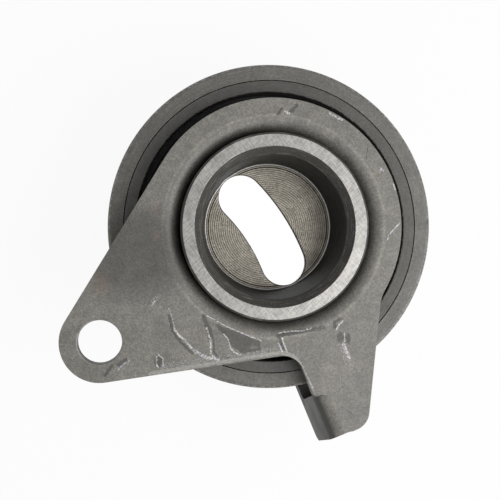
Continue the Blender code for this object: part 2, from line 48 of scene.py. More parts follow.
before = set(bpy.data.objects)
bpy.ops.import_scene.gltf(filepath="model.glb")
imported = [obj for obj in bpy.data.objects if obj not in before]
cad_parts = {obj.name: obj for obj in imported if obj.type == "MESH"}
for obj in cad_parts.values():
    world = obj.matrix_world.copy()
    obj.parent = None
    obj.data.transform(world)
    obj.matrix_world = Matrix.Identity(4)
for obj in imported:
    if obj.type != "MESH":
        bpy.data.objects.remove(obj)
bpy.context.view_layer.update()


def half_width(low, high):
    """Half the width of a box along X."""
    return (high.x - low.x) / 2


# Places read from the frame
SHELL_LOW, SHELL_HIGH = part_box("pulley_shell")
HUB_CORNER_LOW, HUB_CORNER_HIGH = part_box("hub")
ARM_LOW, ARM_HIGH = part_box("arm_plate")
RING_LOW, RING_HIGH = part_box("inner_ring")
SEAL_LOW, SEAL_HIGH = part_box("seal_upper")
CAGE_LOW, CAGE_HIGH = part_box("cage")
BALL_LOW, BALL_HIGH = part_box("ball_01")
AXIS = Vector(((SHELL_LOW.x + SHELL_HIGH.x) / 2, (SHELL_LOW.y + SHELL_HIGH.y) / 2, 0.0))
PULLEY_RADIUS = half_width(SHELL_LOW, SHELL_HIGH)
PULLEY_WIDTH = SHELL_HIGH.z
OUTER_RING_RADIUS = half_width(*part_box("outer_ring"))
HUB_TOP = HUB_CORNER_HIGH.z
HUB_LOW = HUB_CORNER_LOW.z
HUB_SHOULDER_RADIUS = half_width(HUB_CORNER_LOW, HUB_CORNER_HIGH)
INNER_LAND_RADIUS = half_width(RING_LOW, RING_HIGH)
BALL_COUNT = len([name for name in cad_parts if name.startswith("ball_")])
BALL_RADIUS = (BALL_HIGH.z - BALL_LOW.z) / 2
PITCH_RADIUS = (BALL_LOW.x + BALL_HIGH.x) / 2 - AXIS.x
BEARING_HEIGHT = PULLEY_WIDTH / 2
PLATE_TOP = ARM_HIGH.z
TAB_DEPTH = ARM_HIGH.z - ARM_LOW.z

# Facets
TURNED_SEGMENTS = 256
BALL_SEGMENTS = 32
ARC_STEP = math.radians(2.0)
EDGE_STEPS = 4
ROLL_STEPS = 18
FILLET_STEPS = 8
RACE_STEPS = 8
HOLE_SEGMENTS = 96
SLOT_END_STEPS = 28
POCKET_SEGMENTS = 32
CAGE_FACETS_PER_BALL = 12
SMOOTH_ANGLE = math.radians(30.0)
ROUND_PROFILE = 0.5
WELD = 1e-7

# A face's upward share from which it counts as level, and as sloping up from the well's floor
LEVEL_FACE = 0.9
SLOPING_FACE = 0.2

# Shares of the well's fillet: its drawn radius, and the height up to which faces count as floor
FILLET_SHARE = 0.7
FLOOR_BAND = 1.2

# How far cutters stand out, and how far joined solids reach into each other
CUT_MARGIN = 1.0 * MM
JOIN_OVERLAP = 0.5 * MM

# Finishes: the levels that noise mostly takes, and how strongly each kind of mark shows
NOISE_LOW, NOISE_HIGH = 0.3, 0.7
UPWARD = (0.6, 0.95)
LIGHT_FLECKS = (0.64, 0.76)
BROKEN_OUTLINE = (0.38, 0.56)
FROST_CRYSTALS = (0.5, 0.62)
VIOLET_PLACES = (0.52, 0.6)
# Painted shade on the tab's fold and on the spring's horn
FOLD_PAINTED_SHADE_DEPTH = 0.82
HORN_PAINTED_SHADE_DEPTH = 0.8
FILM_DEPTH = 0.58
CRACK_DEPTH = 0.55
# Painted shade towards the pivot: its middle and half widths in millimetres, and how dark it gets
PIVOT_PAINTED_SHADE = ((-25.0, -5.0), (16.0, 14.0))
PIVOT_PAINTED_SHADE_DEPTH = 0.5
STAIN_STRENGTH = 0.2
OUTLINE_STRENGTH = 0.75
# How strongly the frost shows; along the lower edge it is partly a painted highlight
FROST_AND_HIGHLIGHT_STRENGTH = 0.5
# How strongly the arm's upper edges lighten: partly wear, partly a painted highlight
WORN_AND_HIGHLIGHT_STRENGTH = 0.6
# Painted shade on the rolled shoulder, and the painted highlight on its crease
ROLL_PAINTED_SHADE = 0.6
CREASE_PAINTED_HIGHLIGHT = 0.3
GROOVE_PITCH = 0.41

# Ramps of the finishes: the levels between which each one runs, then the values it gives there
# These two place the painted shade on the tab's fold
BEND_RISE = (0.985, 0.55)
BEND_HEIGHT = (10.0, 27.0, 0.25, 1.0)
# Breaks in the painted highlight along the lower edges
EDGE_WEAR_AND_HIGHLIGHT_CRYSTALS = (0.35, 0.6, 0.1, 0.3)
SIDE_RISE = (0.4, 0.1)
ARM_ROUGHNESS = (0.25, 0.75, 0.40, 0.52)
ARM_GLOSS = (0.1, 0.7, 0.1, 0.5)
WELL_SMEARS = (0.5, 0.72, 1.0, 2.4)
SCRATCH_TINT = (0.75, 1.25, 0.84, 1.14)
GROUND_ROUGHNESS = (0.7, 1.3, 0.27, 0.36)
GROOVE_TINT = (-1.0, 1.0, 0.6, 1.4)
FLOOR_PITS = (0.62, 0.72, 1.0, 0.55)
EDGE_BREAKS = (0.4, 0.7, 0.0, 0.35)

# Upward share of the rounded edges where each coat is worn, and how the wear fades to both sides of it; on
# the arm the lightening is partly wear and partly a painted highlight of the rounded upper edge
ARM_WEAR_AND_HIGHLIGHT, ARM_WEAR_AND_HIGHLIGHT_FADE = 0.75, (0.2, 0.05)
SLEEVE_WEAR, SLEEVE_WEAR_FADE = 0.7, (0.3, 0.1)

# Values of a ramp over the noise's usual levels
# Breaks in the arm's edge lightening, which is partly wear and partly a painted highlight
ARM_WEAR_AND_HIGHLIGHT_NOISE = (0.3, 0.9)
ARM_PATCH_ROUGHNESS = (-0.03, 0.05)
PRESS_MARKS = (1.0, 0.7)
WELL_ROUGHNESS = (0.5, 0.62)
GROUND_GRAIN, GROUND_CLOUD = (0.92, 1.08), (0.9, 1.08)
GROOVE_BREAKS = (0.3, 1.0)
FLOOR_CLOUD, FLOOR_GRAIN = (0.82, 1.15), (0.75, 1.25)
FLOOR_ROUGHNESS = (0.34, 0.48)
SLEEVE_LINES, SLEEVE_ROUGHNESS = (0.9, 1.1), (0.4, 0.5)
PLAIN_GRAIN = (0.93, 1.06)

# Shares of contrast of each coat, in its crystals, flecks, patches and clouds
COAT_SHARES = (1.0, 0.8, 0.5, 0.4)
ARM_CONTRAST, WELL_CONTRAST, SLEEVE_CONTRAST = 0.24, 0.16, 0.2

# Depths of the bumps in millimetres, and how ragged the marks' edges are
ARM_BUMP, WELL_BUMP, GROUND_BUMP, FLOOR_BUMP, SLEEVE_BUMP = 0.03, 0.03, 0.006, 0.012, 0.02
WIDE_RAGGED, FINE_RAGGED, SLEEVE_RAGGED = 0.35, 0.14, 0.15
SCRATCH_TURNS, SCRATCH_STRETCH = (0.9, -0.8), (0.5, 4.5, 1.0)

# The floor glows white in view, fully below the slot and with this share further out
GLOW_REACH = (14.0, 22.0)
GLOW_SHARE = 0.93
CLIP_START = 10.0 * MM

# Marks on the arm's face, in millimetres from the hub's axis: films of oil, their dried outlines, scratches,
# and painted highlights along the lower edges and on one cut edge
FILM_PATCHES = (
    ((-2.2, -23.1), (-2.5, -21.1), (-5.9, -19.8), (-12.0, -17.2), (-8.0, -22.3), (-5.9, -23.9)),
    ((-28.5, -26.4), (-26.9, -25.1), (-27.2, -24.1), (-29.6, -25.6)),
)
FILM_STROKES = (
    (((-13.2, -16.6), (-12.4, -18.6), (-12.0, -20.6)), 1.0),
    (((-19.5, -16.6), (-18.9, -19.4), (-17.5, -21.3), (-15.2, -23.6)), 0.7),
    (((-11.9, -18.9), (-11.2, -21.3), (-11.2, -23.4), (-10.2, -24.6), (-8.4, -24.3)), 0.5),
    (((-31.3, -27.7), (-30.0, -25.8)), 0.7),
    (((0.5, 21.1), (1.2, 22.1)), 0.7),
    (((2.6, 21.3), (4.0, 22.7)), 0.9),
    (((0.7, -20.3), (3.1, -19.9), (7.4, -19.2), (9.4, -18.8)), 1.0),
    (((1.1, -20.8), (1.9, -22.9)), 0.6),
    (((11.6, -18.8), (11.4, -17.8), (12.5, -17.2)), 0.8),
)
FILM_SPOTS = (
    ((-21.4, -25.0), (1.0, 1.4)),
    ((12.6, -20.7), (0.75, 1.3)),
    ((14.1, -20.8), (0.55, 1.1)),
)
FILM_HOLES = (
    ((-3.8, -22.5), (1.1, 0.6)),
)
# Bright outlines of dried oil, and one painted glint
OUTLINE_AND_GLINT_STROKES = (
    (((-19.6, -15.3), (-18.9, -17.3), (-18.4, -18.9)), 0.27),
    (((-18.6, -18.9), (-17.9, -20.1), (-17.1, -20.7), (-15.5, -22.4), (-14.6, -23.3)), 0.51),
    (((-14.6, -23.3), (-12.7, -24.3), (-10.3, -24.7)), 0.75),
    (((-12.6, -18.9), (-11.8, -21.3), (-11.8, -23.6), (-10.8, -24.7)), 0.42),
    (((-9.4, -20.0), (-8.5, -21.0), (-8.1, -22.6), (-7.4, -23.4), (-6.2, -23.9)), 0.39),
    (((-12.5, -16.6), (-8.8, -18.6), (-5.1, -20.2), (-2.2, -21.3)), 0.24),
    (((-21.8, -24.1), (-21.8, -25.7), (-21.5, -26.2)), 0.42),
    (((-21.5, -23.8), (-20.6, -24.6), (-20.7, -25.9)), 0.36),
    (((-28.9, -26.5), (-28.0, -25.6), (-26.9, -24.9)), 0.39),
    (((-22.7, -14.6), (-22.1, -13.7)), 0.30),
    (((1.8, 21.5), (2.8, 21.1)), 0.60),
    (((10.3, 21.3), (11.3, 20.7), (12.5, 20.2)), 0.60),
    (((19.8, 10.4), (20.1, 11.2), (20.5, 10.7)), 0.36),
    (((23.7, 0.9), (22.3, -0.6), (21.7, -1.4), (21.4, -2.3)), 0.39),
    (((22.4, 8.3), (22.8, 7.2)), 0.36),
    (((0.9, -19.9), (1.8, -19.6), (5.4, -19.4), (7.1, -18.9)), 0.36),
    (((0.9, -21.7), (1.6, -23.3)), 0.39),
    (((1.6, -20.8), (1.9, -21.9), (2.5, -23.3)), 0.36),
    (((11.8, -19.2), (12.3, -18.3), (13.0, -17.6)), 0.42),
    (((13.4, -19.7), (13.4, -21.5)), 0.24),
    (((13.2, -22.0), (13.6, -23.0), (14.3, -24.6)), 0.8),
    # A painted glint on the plate's cut edge beside the tab's notch
    (((6.9, -29.2), (7.4, -30.1)), 0.4),
)
FROST_AND_HIGHLIGHT_STROKES = (
    # The first line, along the arm's lower edge, is partly frost and partly a painted highlight of the rolled
    # edge
    (((-20.5, -26.0), (-12.8, -24.9), (-7.2, -24.2), (0.6, -23.2)), 1.5),
    (((12.7, -21.9), (13.5, -23.4), (14.4, -26.1)), 2.0),
    (((-23.0, -14.9), (-21.5, -12.8)), 1.2),
)
# Light bands along the lower edge and down the leg: a painted highlight of the rolled edges, partly rubbed
# wear
EDGE_WEAR_AND_HIGHLIGHT_STROKES = (
    (((-23.0, -27.3), (-12.0, -25.6), (-4.0, -24.3), (1.6, -23.5)), 0.9),
    (((1.6, -23.5), (3.6, -24.1), (5.0, -25.6), (7.3, -30.3), (7.6, -31.6)), 0.9),
)
DARK_STROKES = (
    (((14.0, -34.5), (14.8, -35.0)), 0.24),
    (((17.0, -34.0), (18.1, -33.8)), 0.2),
    (((17.5, 15.2), (17.2, 12.9)), 0.2),
    (((-18.8, -17.3), (-18.3, -19.0)), 0.22),
)
STAINS = (
    ((-31.9, -10.9), (2.2, 3.4)),
    ((-21.9, -1.8), (1.0, 1.3)),
    ((-22.3, 3.3), (1.0, 1.2)),
)

# Marks on the pulley's upper face
SLEEVE_SPECKS = (
    ((23.1, 16.1), (0.3, 0.3)),
    ((30.8, 1.2), (0.5, 0.7)),
)
SLEEVE_SCRATCHES = (
    (((-3.0, -28.6), (-3.0, -30.0)), 0.22),
)


def length(name, description, millimetres):
    """A length that the sidebar shows."""
    return FloatProperty(
        name=name, description=description, default=millimetres * MM, min=0.0, precision=5,
        unit="LENGTH", subtype="DISTANCE",
    )


def angle(name, description, degrees):
    """An angle that the sidebar shows."""
    return FloatProperty(
        name=name, description=description, default=math.radians(degrees), unit="ROTATION", subtype="ANGLE",
    )


def colour(name, description, rgb):
    """A colour that the sidebar shows."""
    return FloatVectorProperty(
        name=name, description=description, default=rgb, size=3, min=0.0, max=1.0, subtype="COLOR",
    )


class TensionerPulleySizes(bpy.types.PropertyGroup):
    """Sizes of the pulley and its bearing."""

    shell_wall: length("Shell wall", "Thickness of the sleeve that the belt runs on", 2.95)
    shell_edge: length("Shell edge", "Rounding of the sleeve's outer edges", 0.7)
    ring_chamfer: length("Ring chamfer", "Chamfer at the ends of the bearing's rings", 0.25)
    seam_edge: length("Seam edge", "Rounding of the sleeve's and the outer ring's edges at their seam", 0.06)
    outer_ring_wall: length("Outer ring wall", "Thickness of the outer ring beside its end bores", 2.2)
    race_depth: length("Race depth", "Depth of the ball grooves below the lands", 1.4)
    ball_gap: length("Ball gap", "Clearance between a ball and its groove", 0.2)
    fit_gap: length("Fit gap", "Gap that stands for a press fit", 0.3)
    seal_groove: length("Seal groove", "Depth of the groove that holds a seal", 0.5)
    seal_web: length("Seal web", "Thickness of a seal between its bead and its lip", 0.7)
    seal_bead: length("Seal bead", "Width of a seal's outer bead", 1.3)
    seal_lip: length("Seal lip", "Width of a seal's inner lip", 1.0)


class TensionerHubSizes(bpy.types.PropertyGroup):
    """Sizes of the turned hub."""

    radius: length("Radius", "Outer radius of the hub", 17.4)
    face_width: length("Face width", "Width of the ground face with its edge", 2.35)
    edge: length("Edge", "Rounding of the hub's small edges", 0.2)
    crown: length("Crown", "How far the hub's upper part stands out past its lower part", 0.2)
    crown_edge: length("Crown edge", "Chamfer round the ground face", 0.38)
    mouth_chamfer: length("Mouth chamfer", "Width and depth of the chamfer at the well's mouth", 1.5)
    well_depth: length("Well depth", "Depth of the well below the ground face", 13.2)
    well_taper: length("Well taper", "How much the well narrows to its floor", 1.1)
    well_fillet: length("Well fillet", "Fillet between the well's wall and its floor", 0.5)
    floor_groove: length("Floor groove", "Depth of the tool's groove at the floor's edge", 0.12)
    web: length("Web", "Thickness of the web below the well", 4.0)
    recess_wall: length("Recess wall", "Wall round the lower recess", 2.8)
    recess_chamfer: length("Recess chamfer", "Chamfer of the lower recess", 0.8)
    shoulder: length("Shoulder", "Thickness of the shoulder between arm and bearing", 3.0)
    slot_width: length("Slot width", "Width of the lock bolt's slot", 8.7)
    slot_inset: length("Slot inset", "How far the slot's arc lies inside the pivot's distance", 0.5)
    slot_end_gap: length("Slot end gap", "Gap between the slot's end and the floor's edge", 0.4)
    slot_edge: length("Slot edge", "Rounding of the slot's upper edge", 0.3)
    slot_draft: length("Slot draft", "How much the slot widens on each side below", 0.35)


class TensionerArmSizes(bpy.types.PropertyGroup):
    """Sizes of the stamped arm."""

    plate: length("Plate", "Thickness of the sheet", 3.8)
    edge: length("Edge", "Rounding of the sheet's upper edge", 0.6)
    head_rim: length("Head rim", "Width of the head outside the hub", 6.7)
    pivot_distance: length("Pivot distance", "Distance of the pivot hole from the hub's axis", 38.8)
    pivot_angle: angle("Pivot angle", "Direction of the pivot hole", 213.7)
    pivot_end: length("Pivot end", "Radius of the arm's rounded end", 7.5)
    pivot_hole: length("Pivot hole", "Radius of the pivot hole", 4.1)
    hole_edge: length("Hole edge", "Rounding of the pivot hole's upper edge", 0.3)
    collar_gap: length("Collar gap", "Gap between the hub and the collar", 0.3)
    collar_roll: length("Collar roll", "Radius of the rolled shoulder round the hub", 2.95)
    collar_wall: length("Collar wall", "Thickness of the drawn collar", 2.4)
    collar_height: length("Collar height", "Height of the collar with the sheet", 6.1)
    collar_fillet: length("Collar fillet", "Fillet under the sheet at the collar", 0.8)
    leg_angle: angle("Leg angle", "Direction of the leg", -67.1)
    leg_left: length("Leg left edge", "Offset of the leg's left edge from the hub's axis", 5.2)
    leg_right_angle: angle("Leg right angle", "Direction that the leg's right edge faces", -5.3)
    leg_foot: length("Leg foot", "Width of the leg's foot before its corner is rounded", 7.38)
    leg_overhang: length("Leg overhang", "Reach of the leg past the pulley", 10.2)
    leg_corner: length("Leg corner", "Radius of the foot's right corner", 3.7)
    left_fillet: length("Left fillet", "Inside corner between arm and leg", 4.1)
    right_fillet: length("Right fillet", "Inside corner between head and leg", 7.4)
    tab_clearance: length("Tab clearance", "Gap between the pulley and the spring tab", 0.9)
    tab_length: length("Tab length", "Length of the fold", 9.1)
    tab_slant: angle("Tab slant", "Slant of the tab's ends", 10.9)
    tab_lean: angle("Tab lean", "Lean of the tab from upright", 3.0)
    tab_bend: length("Tab bend", "Outer radius of the fold", 3.0)
    tab_inner: length("Tab inner bend", "Inner radius of the fold", 0.4)
    tab_corner: length("Tab corner", "Radius of the tab's lower corner", 1.6)
    horn_height: length("Horn height", "Height of the spring's horn", 3.7)
    horn_corner: length("Horn corner", "Radius of the horn's corners", 0.7)


class TensionerFinishes(bpy.types.PropertyGroup):
    """Colours of the finishes."""

    coat: colour("Coat", "Phosphate coat of the stamped arm", (0.176, 0.167, 0.149))
    # The well's coat is painted near black: a painted shade of the deep well
    well_coat_painted_shade: colour("Dark coat", "Phosphate coat in the hub's well", (0.024, 0.023, 0.021))
    # The ground steel's colour also paints the highlight line on the well's floor
    ground: colour("Ground steel", "Ground face of the hub", (0.290, 0.281, 0.268))
    turned: colour("Turned steel", "Turned floor of the hub's well", (0.190, 0.175, 0.148))
    shell: colour("Shell", "Phosphate coat of the belt sleeve", (0.114, 0.109, 0.098))
    ring: colour("Outer ring", "Outer ring of the bearing", (0.068, 0.066, 0.060))
    race: colour("Race steel", "Inner ring of the bearing", (0.520, 0.510, 0.500))
    ball: colour("Ball steel", "Polished balls", (0.780, 0.780, 0.775))
    rubber: colour("Rubber", "Moulded seals", (0.020, 0.020, 0.022))
    nylon: colour("Nylon", "Moulded cage", (0.500, 0.420, 0.280))
    # Oil's colour also lightens the arm's edges, partly as a painted highlight
    oil: colour("Oil", "Dried film of oil", (0.760, 0.740, 0.700))
    violet: colour("Violet", "Violet tint here and there in the dried oil", (0.560, 0.500, 0.660))
    rust: colour("Rust", "Thin brown stain", (0.230, 0.130, 0.085))


class TensionerStage(bpy.types.PropertyGroup):
    """Camera, light and floor."""

    eye: FloatVectorProperty(
        name="Eye", description="Camera's place from the hub's axis", size=3, subtype="TRANSLATION",
        unit="LENGTH", default=(-0.0255, 0.0, 0.2492), precision=5,
    )
    turn: FloatVectorProperty(
        name="Turn", description="Camera's yaw, pitch and roll", size=3, subtype="EULER", unit="ROTATION",
        default=(-0.0970, -0.0200, 0.0075),
    )
    lens: FloatProperty(name="Lens", description="Focal length", default=83.51, min=1.0, unit="CAMERA")
    floor_size: length("Floor size", "Side of the square floor", 6000.0)
    floor_colour: colour("Floor colour", "Pale paper of the floor", (0.86, 0.86, 0.86))
    soft_level: FloatProperty(
        name="Soft level", description="Soft light from all round", default=0.35, min=0.0,
    )
    key_power: FloatProperty(
        name="Key light", description="Soft lamp at the right", default=1.08, min=0.0, unit="POWER",
    )
    key_place: FloatVectorProperty(
        name="Key place", description="Lamp's place from the hub's axis", size=3, subtype="TRANSLATION",
        unit="LENGTH", default=(0.20, -0.08, 0.30),
    )
    key_size: FloatProperty(
        name="Key size", description="Side of the square lamp", default=0.28, min=0.01, unit="LENGTH",
    )


class Tensioner(bpy.types.PropertyGroup):
    """All that a user may change."""

    pulley: PointerProperty(type=TensionerPulleySizes)
    hub: PointerProperty(type=TensionerHubSizes)
    arm: PointerProperty(type=TensionerArmSizes)
    finish: PointerProperty(type=TensionerFinishes)
    stage: PointerProperty(type=TensionerStage)


# Plane geometry

def angle_of(vector):
    """Angle of a vector in the plane."""
    return math.atan2(vector[1], vector[0])


def arc(centre, radius, start, end, steps=None):
    """Points of an arc, both ends included; it turns the way that start to end says."""
    steps = steps or max(1, math.ceil(abs(end - start) / ARC_STEP))
    turns = [start + (end - start) * i / steps for i in range(steps + 1)]
    return [(centre[0] + radius * math.cos(a), centre[1] + radius * math.sin(a)) for a in turns]


def circle(centre, radius, segments):
    """Points of a full circle."""
    return arc(centre, radius, 0, math.tau, segments)[:-1]


def rounded(corner_list, steps=EDGE_STEPS, closed=True):
    """Points of a line whose corners (x, y, radius) are rounded."""
    points = []
    count = len(corner_list)
    for i, (x, y, radius) in enumerate(corner_list):
        if radius == 0 or (not closed and i in (0, count - 1)):
            points.append((x, y))
            continue
        here = Vector((x, y))
        before = (Vector(corner_list[i - 1][:2]) - here).normalized()
        after = (Vector(corner_list[(i + 1) % count][:2]) - here).normalized()
        half = before.angle(after) / 2
        centre = here + (before + after).normalized() * radius / math.sin(half)
        first = angle_of(here + before * radius / math.tan(half) - centre)
        last = angle_of(here + after * radius / math.tan(half) - centre)
        turn = (last - first + math.pi) % math.tau - math.pi
        points += arc(centre, radius, first, first + turn, steps)
    return points


# Mesh tools

def mesh_from(shape, name):
    """Turn a bmesh into a mesh with its faces pointing out."""
    bmesh.ops.remove_doubles(shape, verts=shape.verts, dist=WELD)
    bmesh.ops.recalc_face_normals(shape, faces=shape.faces)
    mesh = bpy.data.meshes.new(name)
    shape.to_mesh(mesh)
    shape.free()
    return mesh


def turned(profile, segments, closed=True):
    """Spin a profile of (radius, height) about the axis."""
    shape = bmesh.new()
    verts = [shape.verts.new((r, 0.0, z)) for r, z in profile]
    pairs = list(zip(verts, verts[1:]))
    if closed:
        pairs.append((verts[-1], verts[0]))
    edges = [shape.edges.new(pair) for pair in pairs]
    bmesh.ops.spin(
        shape, geom=verts + edges, cent=(0, 0, 0), axis=(0, 0, 1), angle=math.tau, steps=segments,
        use_merge=True,
    )
    return shape


def lofted(outlines):
    """Solid through plane outlines of equal length, each given with its height, from low to high."""
    shape = bmesh.new()
    rings = [[shape.verts.new((x, y, z)) for x, y in outline] for outline, z in outlines]
    for low, high in zip(rings, rings[1:]):
        for i in range(len(low)):
            shape.faces.new((low[i - 1], low[i], high[i], high[i - 1]))
    shape.faces.new(rings[0])
    shape.faces.new(rings[-1])
    return shape


def edge_steps(radius):
    """Spread and depth of each step down a rounded edge, from its foot up."""
    turns = [math.pi / 2 * i / EDGE_STEPS for i in range(EDGE_STEPS + 1)]
    return [(radius * (1 - math.cos(a)), radius * (1 - math.sin(a))) for a in turns]


def prism(outline, low, high):
    """Extrude a plane outline from one height to another."""
    return lofted([(outline, low), (outline, high)])


def mirrored(half):
    """Close a profile given for heights above zero by its mirror image below."""
    return half + [(r, -z) for r, z in reversed(half)]


def lifted(profile, height):
    """Raise a profile."""
    return [(r, z + height) for r, z in profile]


def loose_object(name, mesh):
    """Link an object on the hub's axis."""
    item = bpy.data.objects.new(name, mesh)
    item.location = AXIS
    bpy.context.scene.collection.objects.link(item)
    return item


def baked(item, tools=()):
    """The mesh that an object's modifiers make; the object and its tools are then removed."""
    graph = bpy.context.evaluated_depsgraph_get()
    graph.update()
    mesh = bpy.data.meshes.new_from_object(item.evaluated_get(graph))
    for spare in [item, *tools]:
        bpy.data.objects.remove(spare)
    return mesh


def carve(base, steps):
    """Join or cut a mesh by others, in order, and return the finished mesh."""
    item = loose_object("blank", base)
    tools = []
    for operation, mesh in steps:
        tool = loose_object("tool", mesh)
        tools.append(tool)
        modifier = item.modifiers.new(operation, "BOOLEAN")
        modifier.operation = operation
        modifier.object = tool
        modifier.solver = "EXACT"
    return baked(item, tools)


def settled(mesh):
    """The mesh with smooth shading that leaves its large flat faces flat beside their rounded edges."""
    mesh.shade_smooth()
    mesh.set_sharp_from_angle(angle=SMOOTH_ANGLE)
    item = loose_object("blank", mesh)
    item.modifiers.new("normals", "WEIGHTED_NORMAL").keep_sharp = True
    return baked(item)


def show(name, mesh, body, nodes, materials, zone=None):
    """Show a finished mesh in place of its CAD nodes; a zone rule finds each face's material."""
    mesh = settled(mesh)
    mesh.materials.clear()
    for material in materials:
        mesh.materials.append(material)
    if zone:
        for face in mesh.polygons:
            face.material_index = zone(face.center, face.normal)
    item = loose_object(name, mesh)
    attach(item, body)
    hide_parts(*nodes)
    return item


class Finish:
    """One procedural material, built node by node; its textures work in millimetres from the hub's axis."""

    def __init__(self, name, **constants):
        self.material = bpy.data.materials.new(name)
        self.material.use_nodes = True
        self.tree = self.material.node_tree
        self.shader = self.tree.nodes["Principled BSDF"]
        for key, value in constants.items():
            self.shader.inputs[key.replace("_", " ")].default_value = value
        self.place = self.scaled(self.node("ShaderNodeTexCoord").outputs["Object"], 1 / MM)
        x, y, self.z = self.node("ShaderNodeSeparateXYZ", {0: self.place}).outputs
        self.flat = self.node("ShaderNodeCombineXYZ", {0: x, 1: y}).outputs[0]
        self.radius = self.measure("LENGTH", self.flat)
        facing = self.node("ShaderNodeTexCoord").outputs["Normal"]
        self.rise = self.node("ShaderNodeSeparateXYZ", {0: facing}).outputs[2]

    def node(self, kind, inputs=None, **settings):
        """Add a node, set it and feed its inputs."""
        made = self.tree.nodes.new(kind)
        for key, value in settings.items():
            setattr(made, key, value)
        for key, value in (inputs or {}).items():
            self.feed(made.inputs[key], value)
        return made

    def feed(self, socket, value):
        """Link a socket to another one, or set its value."""
        if isinstance(value, bpy.types.NodeSocket):
            self.tree.links.new(value, socket)
        elif socket.type == "RGBA":
            socket.default_value = (*value, 1.0)
        else:
            socket.default_value = value

    def math(self, operation, a, b=0.0, clamp=False):
        """One sum, product or other plain step on two values."""
        return self.node("ShaderNodeMath", {0: a, 1: b}, operation=operation, use_clamp=clamp).outputs[0]

    def product(self, first, *others):
        """Several values multiplied."""
        for other in others:
            first = self.math("MULTIPLY", first, other)
        return first

    def off(self, value, middle):
        """How far a value is from another one."""
        return self.math("ABSOLUTE", self.math("SUBTRACT", value, middle))

    def vector(self, operation, *inputs):
        """One vector step that gives a vector."""
        return self.node("ShaderNodeVectorMath", dict(enumerate(inputs)), operation=operation).outputs[0]

    def measure(self, operation, *inputs):
        """One vector step that gives a value."""
        made = self.node("ShaderNodeVectorMath", dict(enumerate(inputs)), operation=operation)
        return made.outputs["Value"]

    def scaled(self, vector, factor):
        """A vector or a colour times a value."""
        return self.node("ShaderNodeVectorMath", {0: vector, "Scale": factor}, operation="SCALE").outputs[0]

    def ramp(self, value, low, high, start=0.0, end=1.0):
        """Ease from start to end while the value goes from low to high."""
        return self.node(
            "ShaderNodeMapRange",
            {"Value": value, "From Min": low, "From Max": high, "To Min": start, "To Max": end},
            interpolation_type="SMOOTHSTEP",
        ).outputs["Result"]

    def spread(self, pattern, start, end):
        """Ease from start to end over the levels that noise mostly takes."""
        return self.ramp(pattern, NOISE_LOW, NOISE_HIGH, start, end)

    def mottle(self, tint, pattern, start, end):
        """Multiply a colour by start where noise is low, and by end where it is high."""
        return self.scaled(tint, self.spread(pattern, start, end))

    def noise(self, scale, detail=3.0, vector=None, roughness=0.55, stretch=None, turn=0.0):
        """Noise with so many cells to the millimetre, from 0 to 1."""
        vector = vector or self.place
        if stretch:
            for change in ({"Rotation": (0.0, 0.0, turn)}, {"Scale": stretch}):
                vector = self.node("ShaderNodeMapping", {"Vector": vector, **change}).outputs[0]
        inputs = {"Vector": vector, "Scale": scale, "Detail": detail, "Roughness": roughness}
        return self.node("ShaderNodeTexNoise", inputs).outputs["Fac"]

    def blend(self, factor, first, second):
        """Mix two colours."""
        made = self.node("ShaderNodeMix", data_type="RGBA", clamp_factor=True)
        for index, value in ((0, factor), (6, first), (7, second)):
            self.feed(made.inputs[index], value)
        return made.outputs[2]

    def darken(self, tint, mask, depth):
        """Multiply a colour down to 1 - depth where the mask is 1."""
        return self.scaled(tint, self.ramp(mask, 0.0, 1.0, 1.0, 1.0 - depth))

    def polar(self, turn_scale):
        """Coordinates that go slowly round the axis and fast outwards and up, for marks that run round it."""
        way = self.scaled(self.vector("NORMALIZE", self.flat), turn_scale)
        climb = self.node("ShaderNodeCombineXYZ", {2: self.math("ADD", self.radius, self.z)}).outputs[0]
        return self.vector("ADD", way, climb)

    def reach(self, way):
        """How far a place lies in a direction from the hub's axis, in millimetres."""
        return self.measure("DOT_PRODUCT", self.flat, way)

    def ragged(self, reach):
        """Plan coordinates shifted here and there, for marks with uneven edges."""
        shift = self.node("ShaderNodeTexNoise", {"Vector": self.flat, "Scale": 2.2, "Detail": 3.0})
        shift = self.vector("SUBTRACT", shift.outputs["Color"], (0.5, 0.5, 0.5))
        return self.vector("ADD", self.flat, self.scaled(shift, 2 * reach))

    def away(self, place, points):
        """Distance in millimetres from a line through plan points."""
        nearest = None
        for first, second in zip(points, points[1:]):
            start, way = Vector((*first, 0.0)), Vector((*second, 0.0)) - Vector((*first, 0.0))
            here = self.vector("SUBTRACT", place, start)
            share = self.measure("DOT_PRODUCT", here, way / way.length_squared)
            share = self.node("ShaderNodeClamp", {"Value": share}).outputs[0]
            gap = self.measure("DISTANCE", here, self.scaled(way, share))
            nearest = self.math("MINIMUM", nearest, gap) if nearest else gap
        return nearest

    def stroke(self, place, points, width):
        """1 on a line of this width through plan points, fading to 0 at its edges."""
        return self.ramp(self.away(place, points), width / 2, width / 4)

    def patch(self, place, points, soft=0.25):
        """1 inside a convex outline given anticlockwise, fading to 0 at its edges."""
        depth = None
        for first, second in zip(points, points[1:] + points[:1]):
            way = (Vector((*second, 0.0)) - Vector((*first, 0.0))).normalized()
            inward = Vector((-way.y, way.x, 0.0))
            reach = self.measure("DOT_PRODUCT", place, inward)
            reach = self.math("SUBTRACT", reach, inward.dot(Vector((*first, 0.0))))
            depth = self.math("MINIMUM", depth, reach) if depth else reach
        return self.ramp(depth, 0.0, soft)

    def spot(self, place, centre, size, soft=0.3):
        """1 inside an upright ellipse with these half widths, fading to 0 at its edge."""
        here = self.vector("SUBTRACT", place, (*centre, 0.0))
        here = self.vector("MULTIPLY", here, (1 / size[0], 1 / size[1], 1.0))
        return self.ramp(self.measure("LENGTH", here), 1.0, 1.0 - soft)

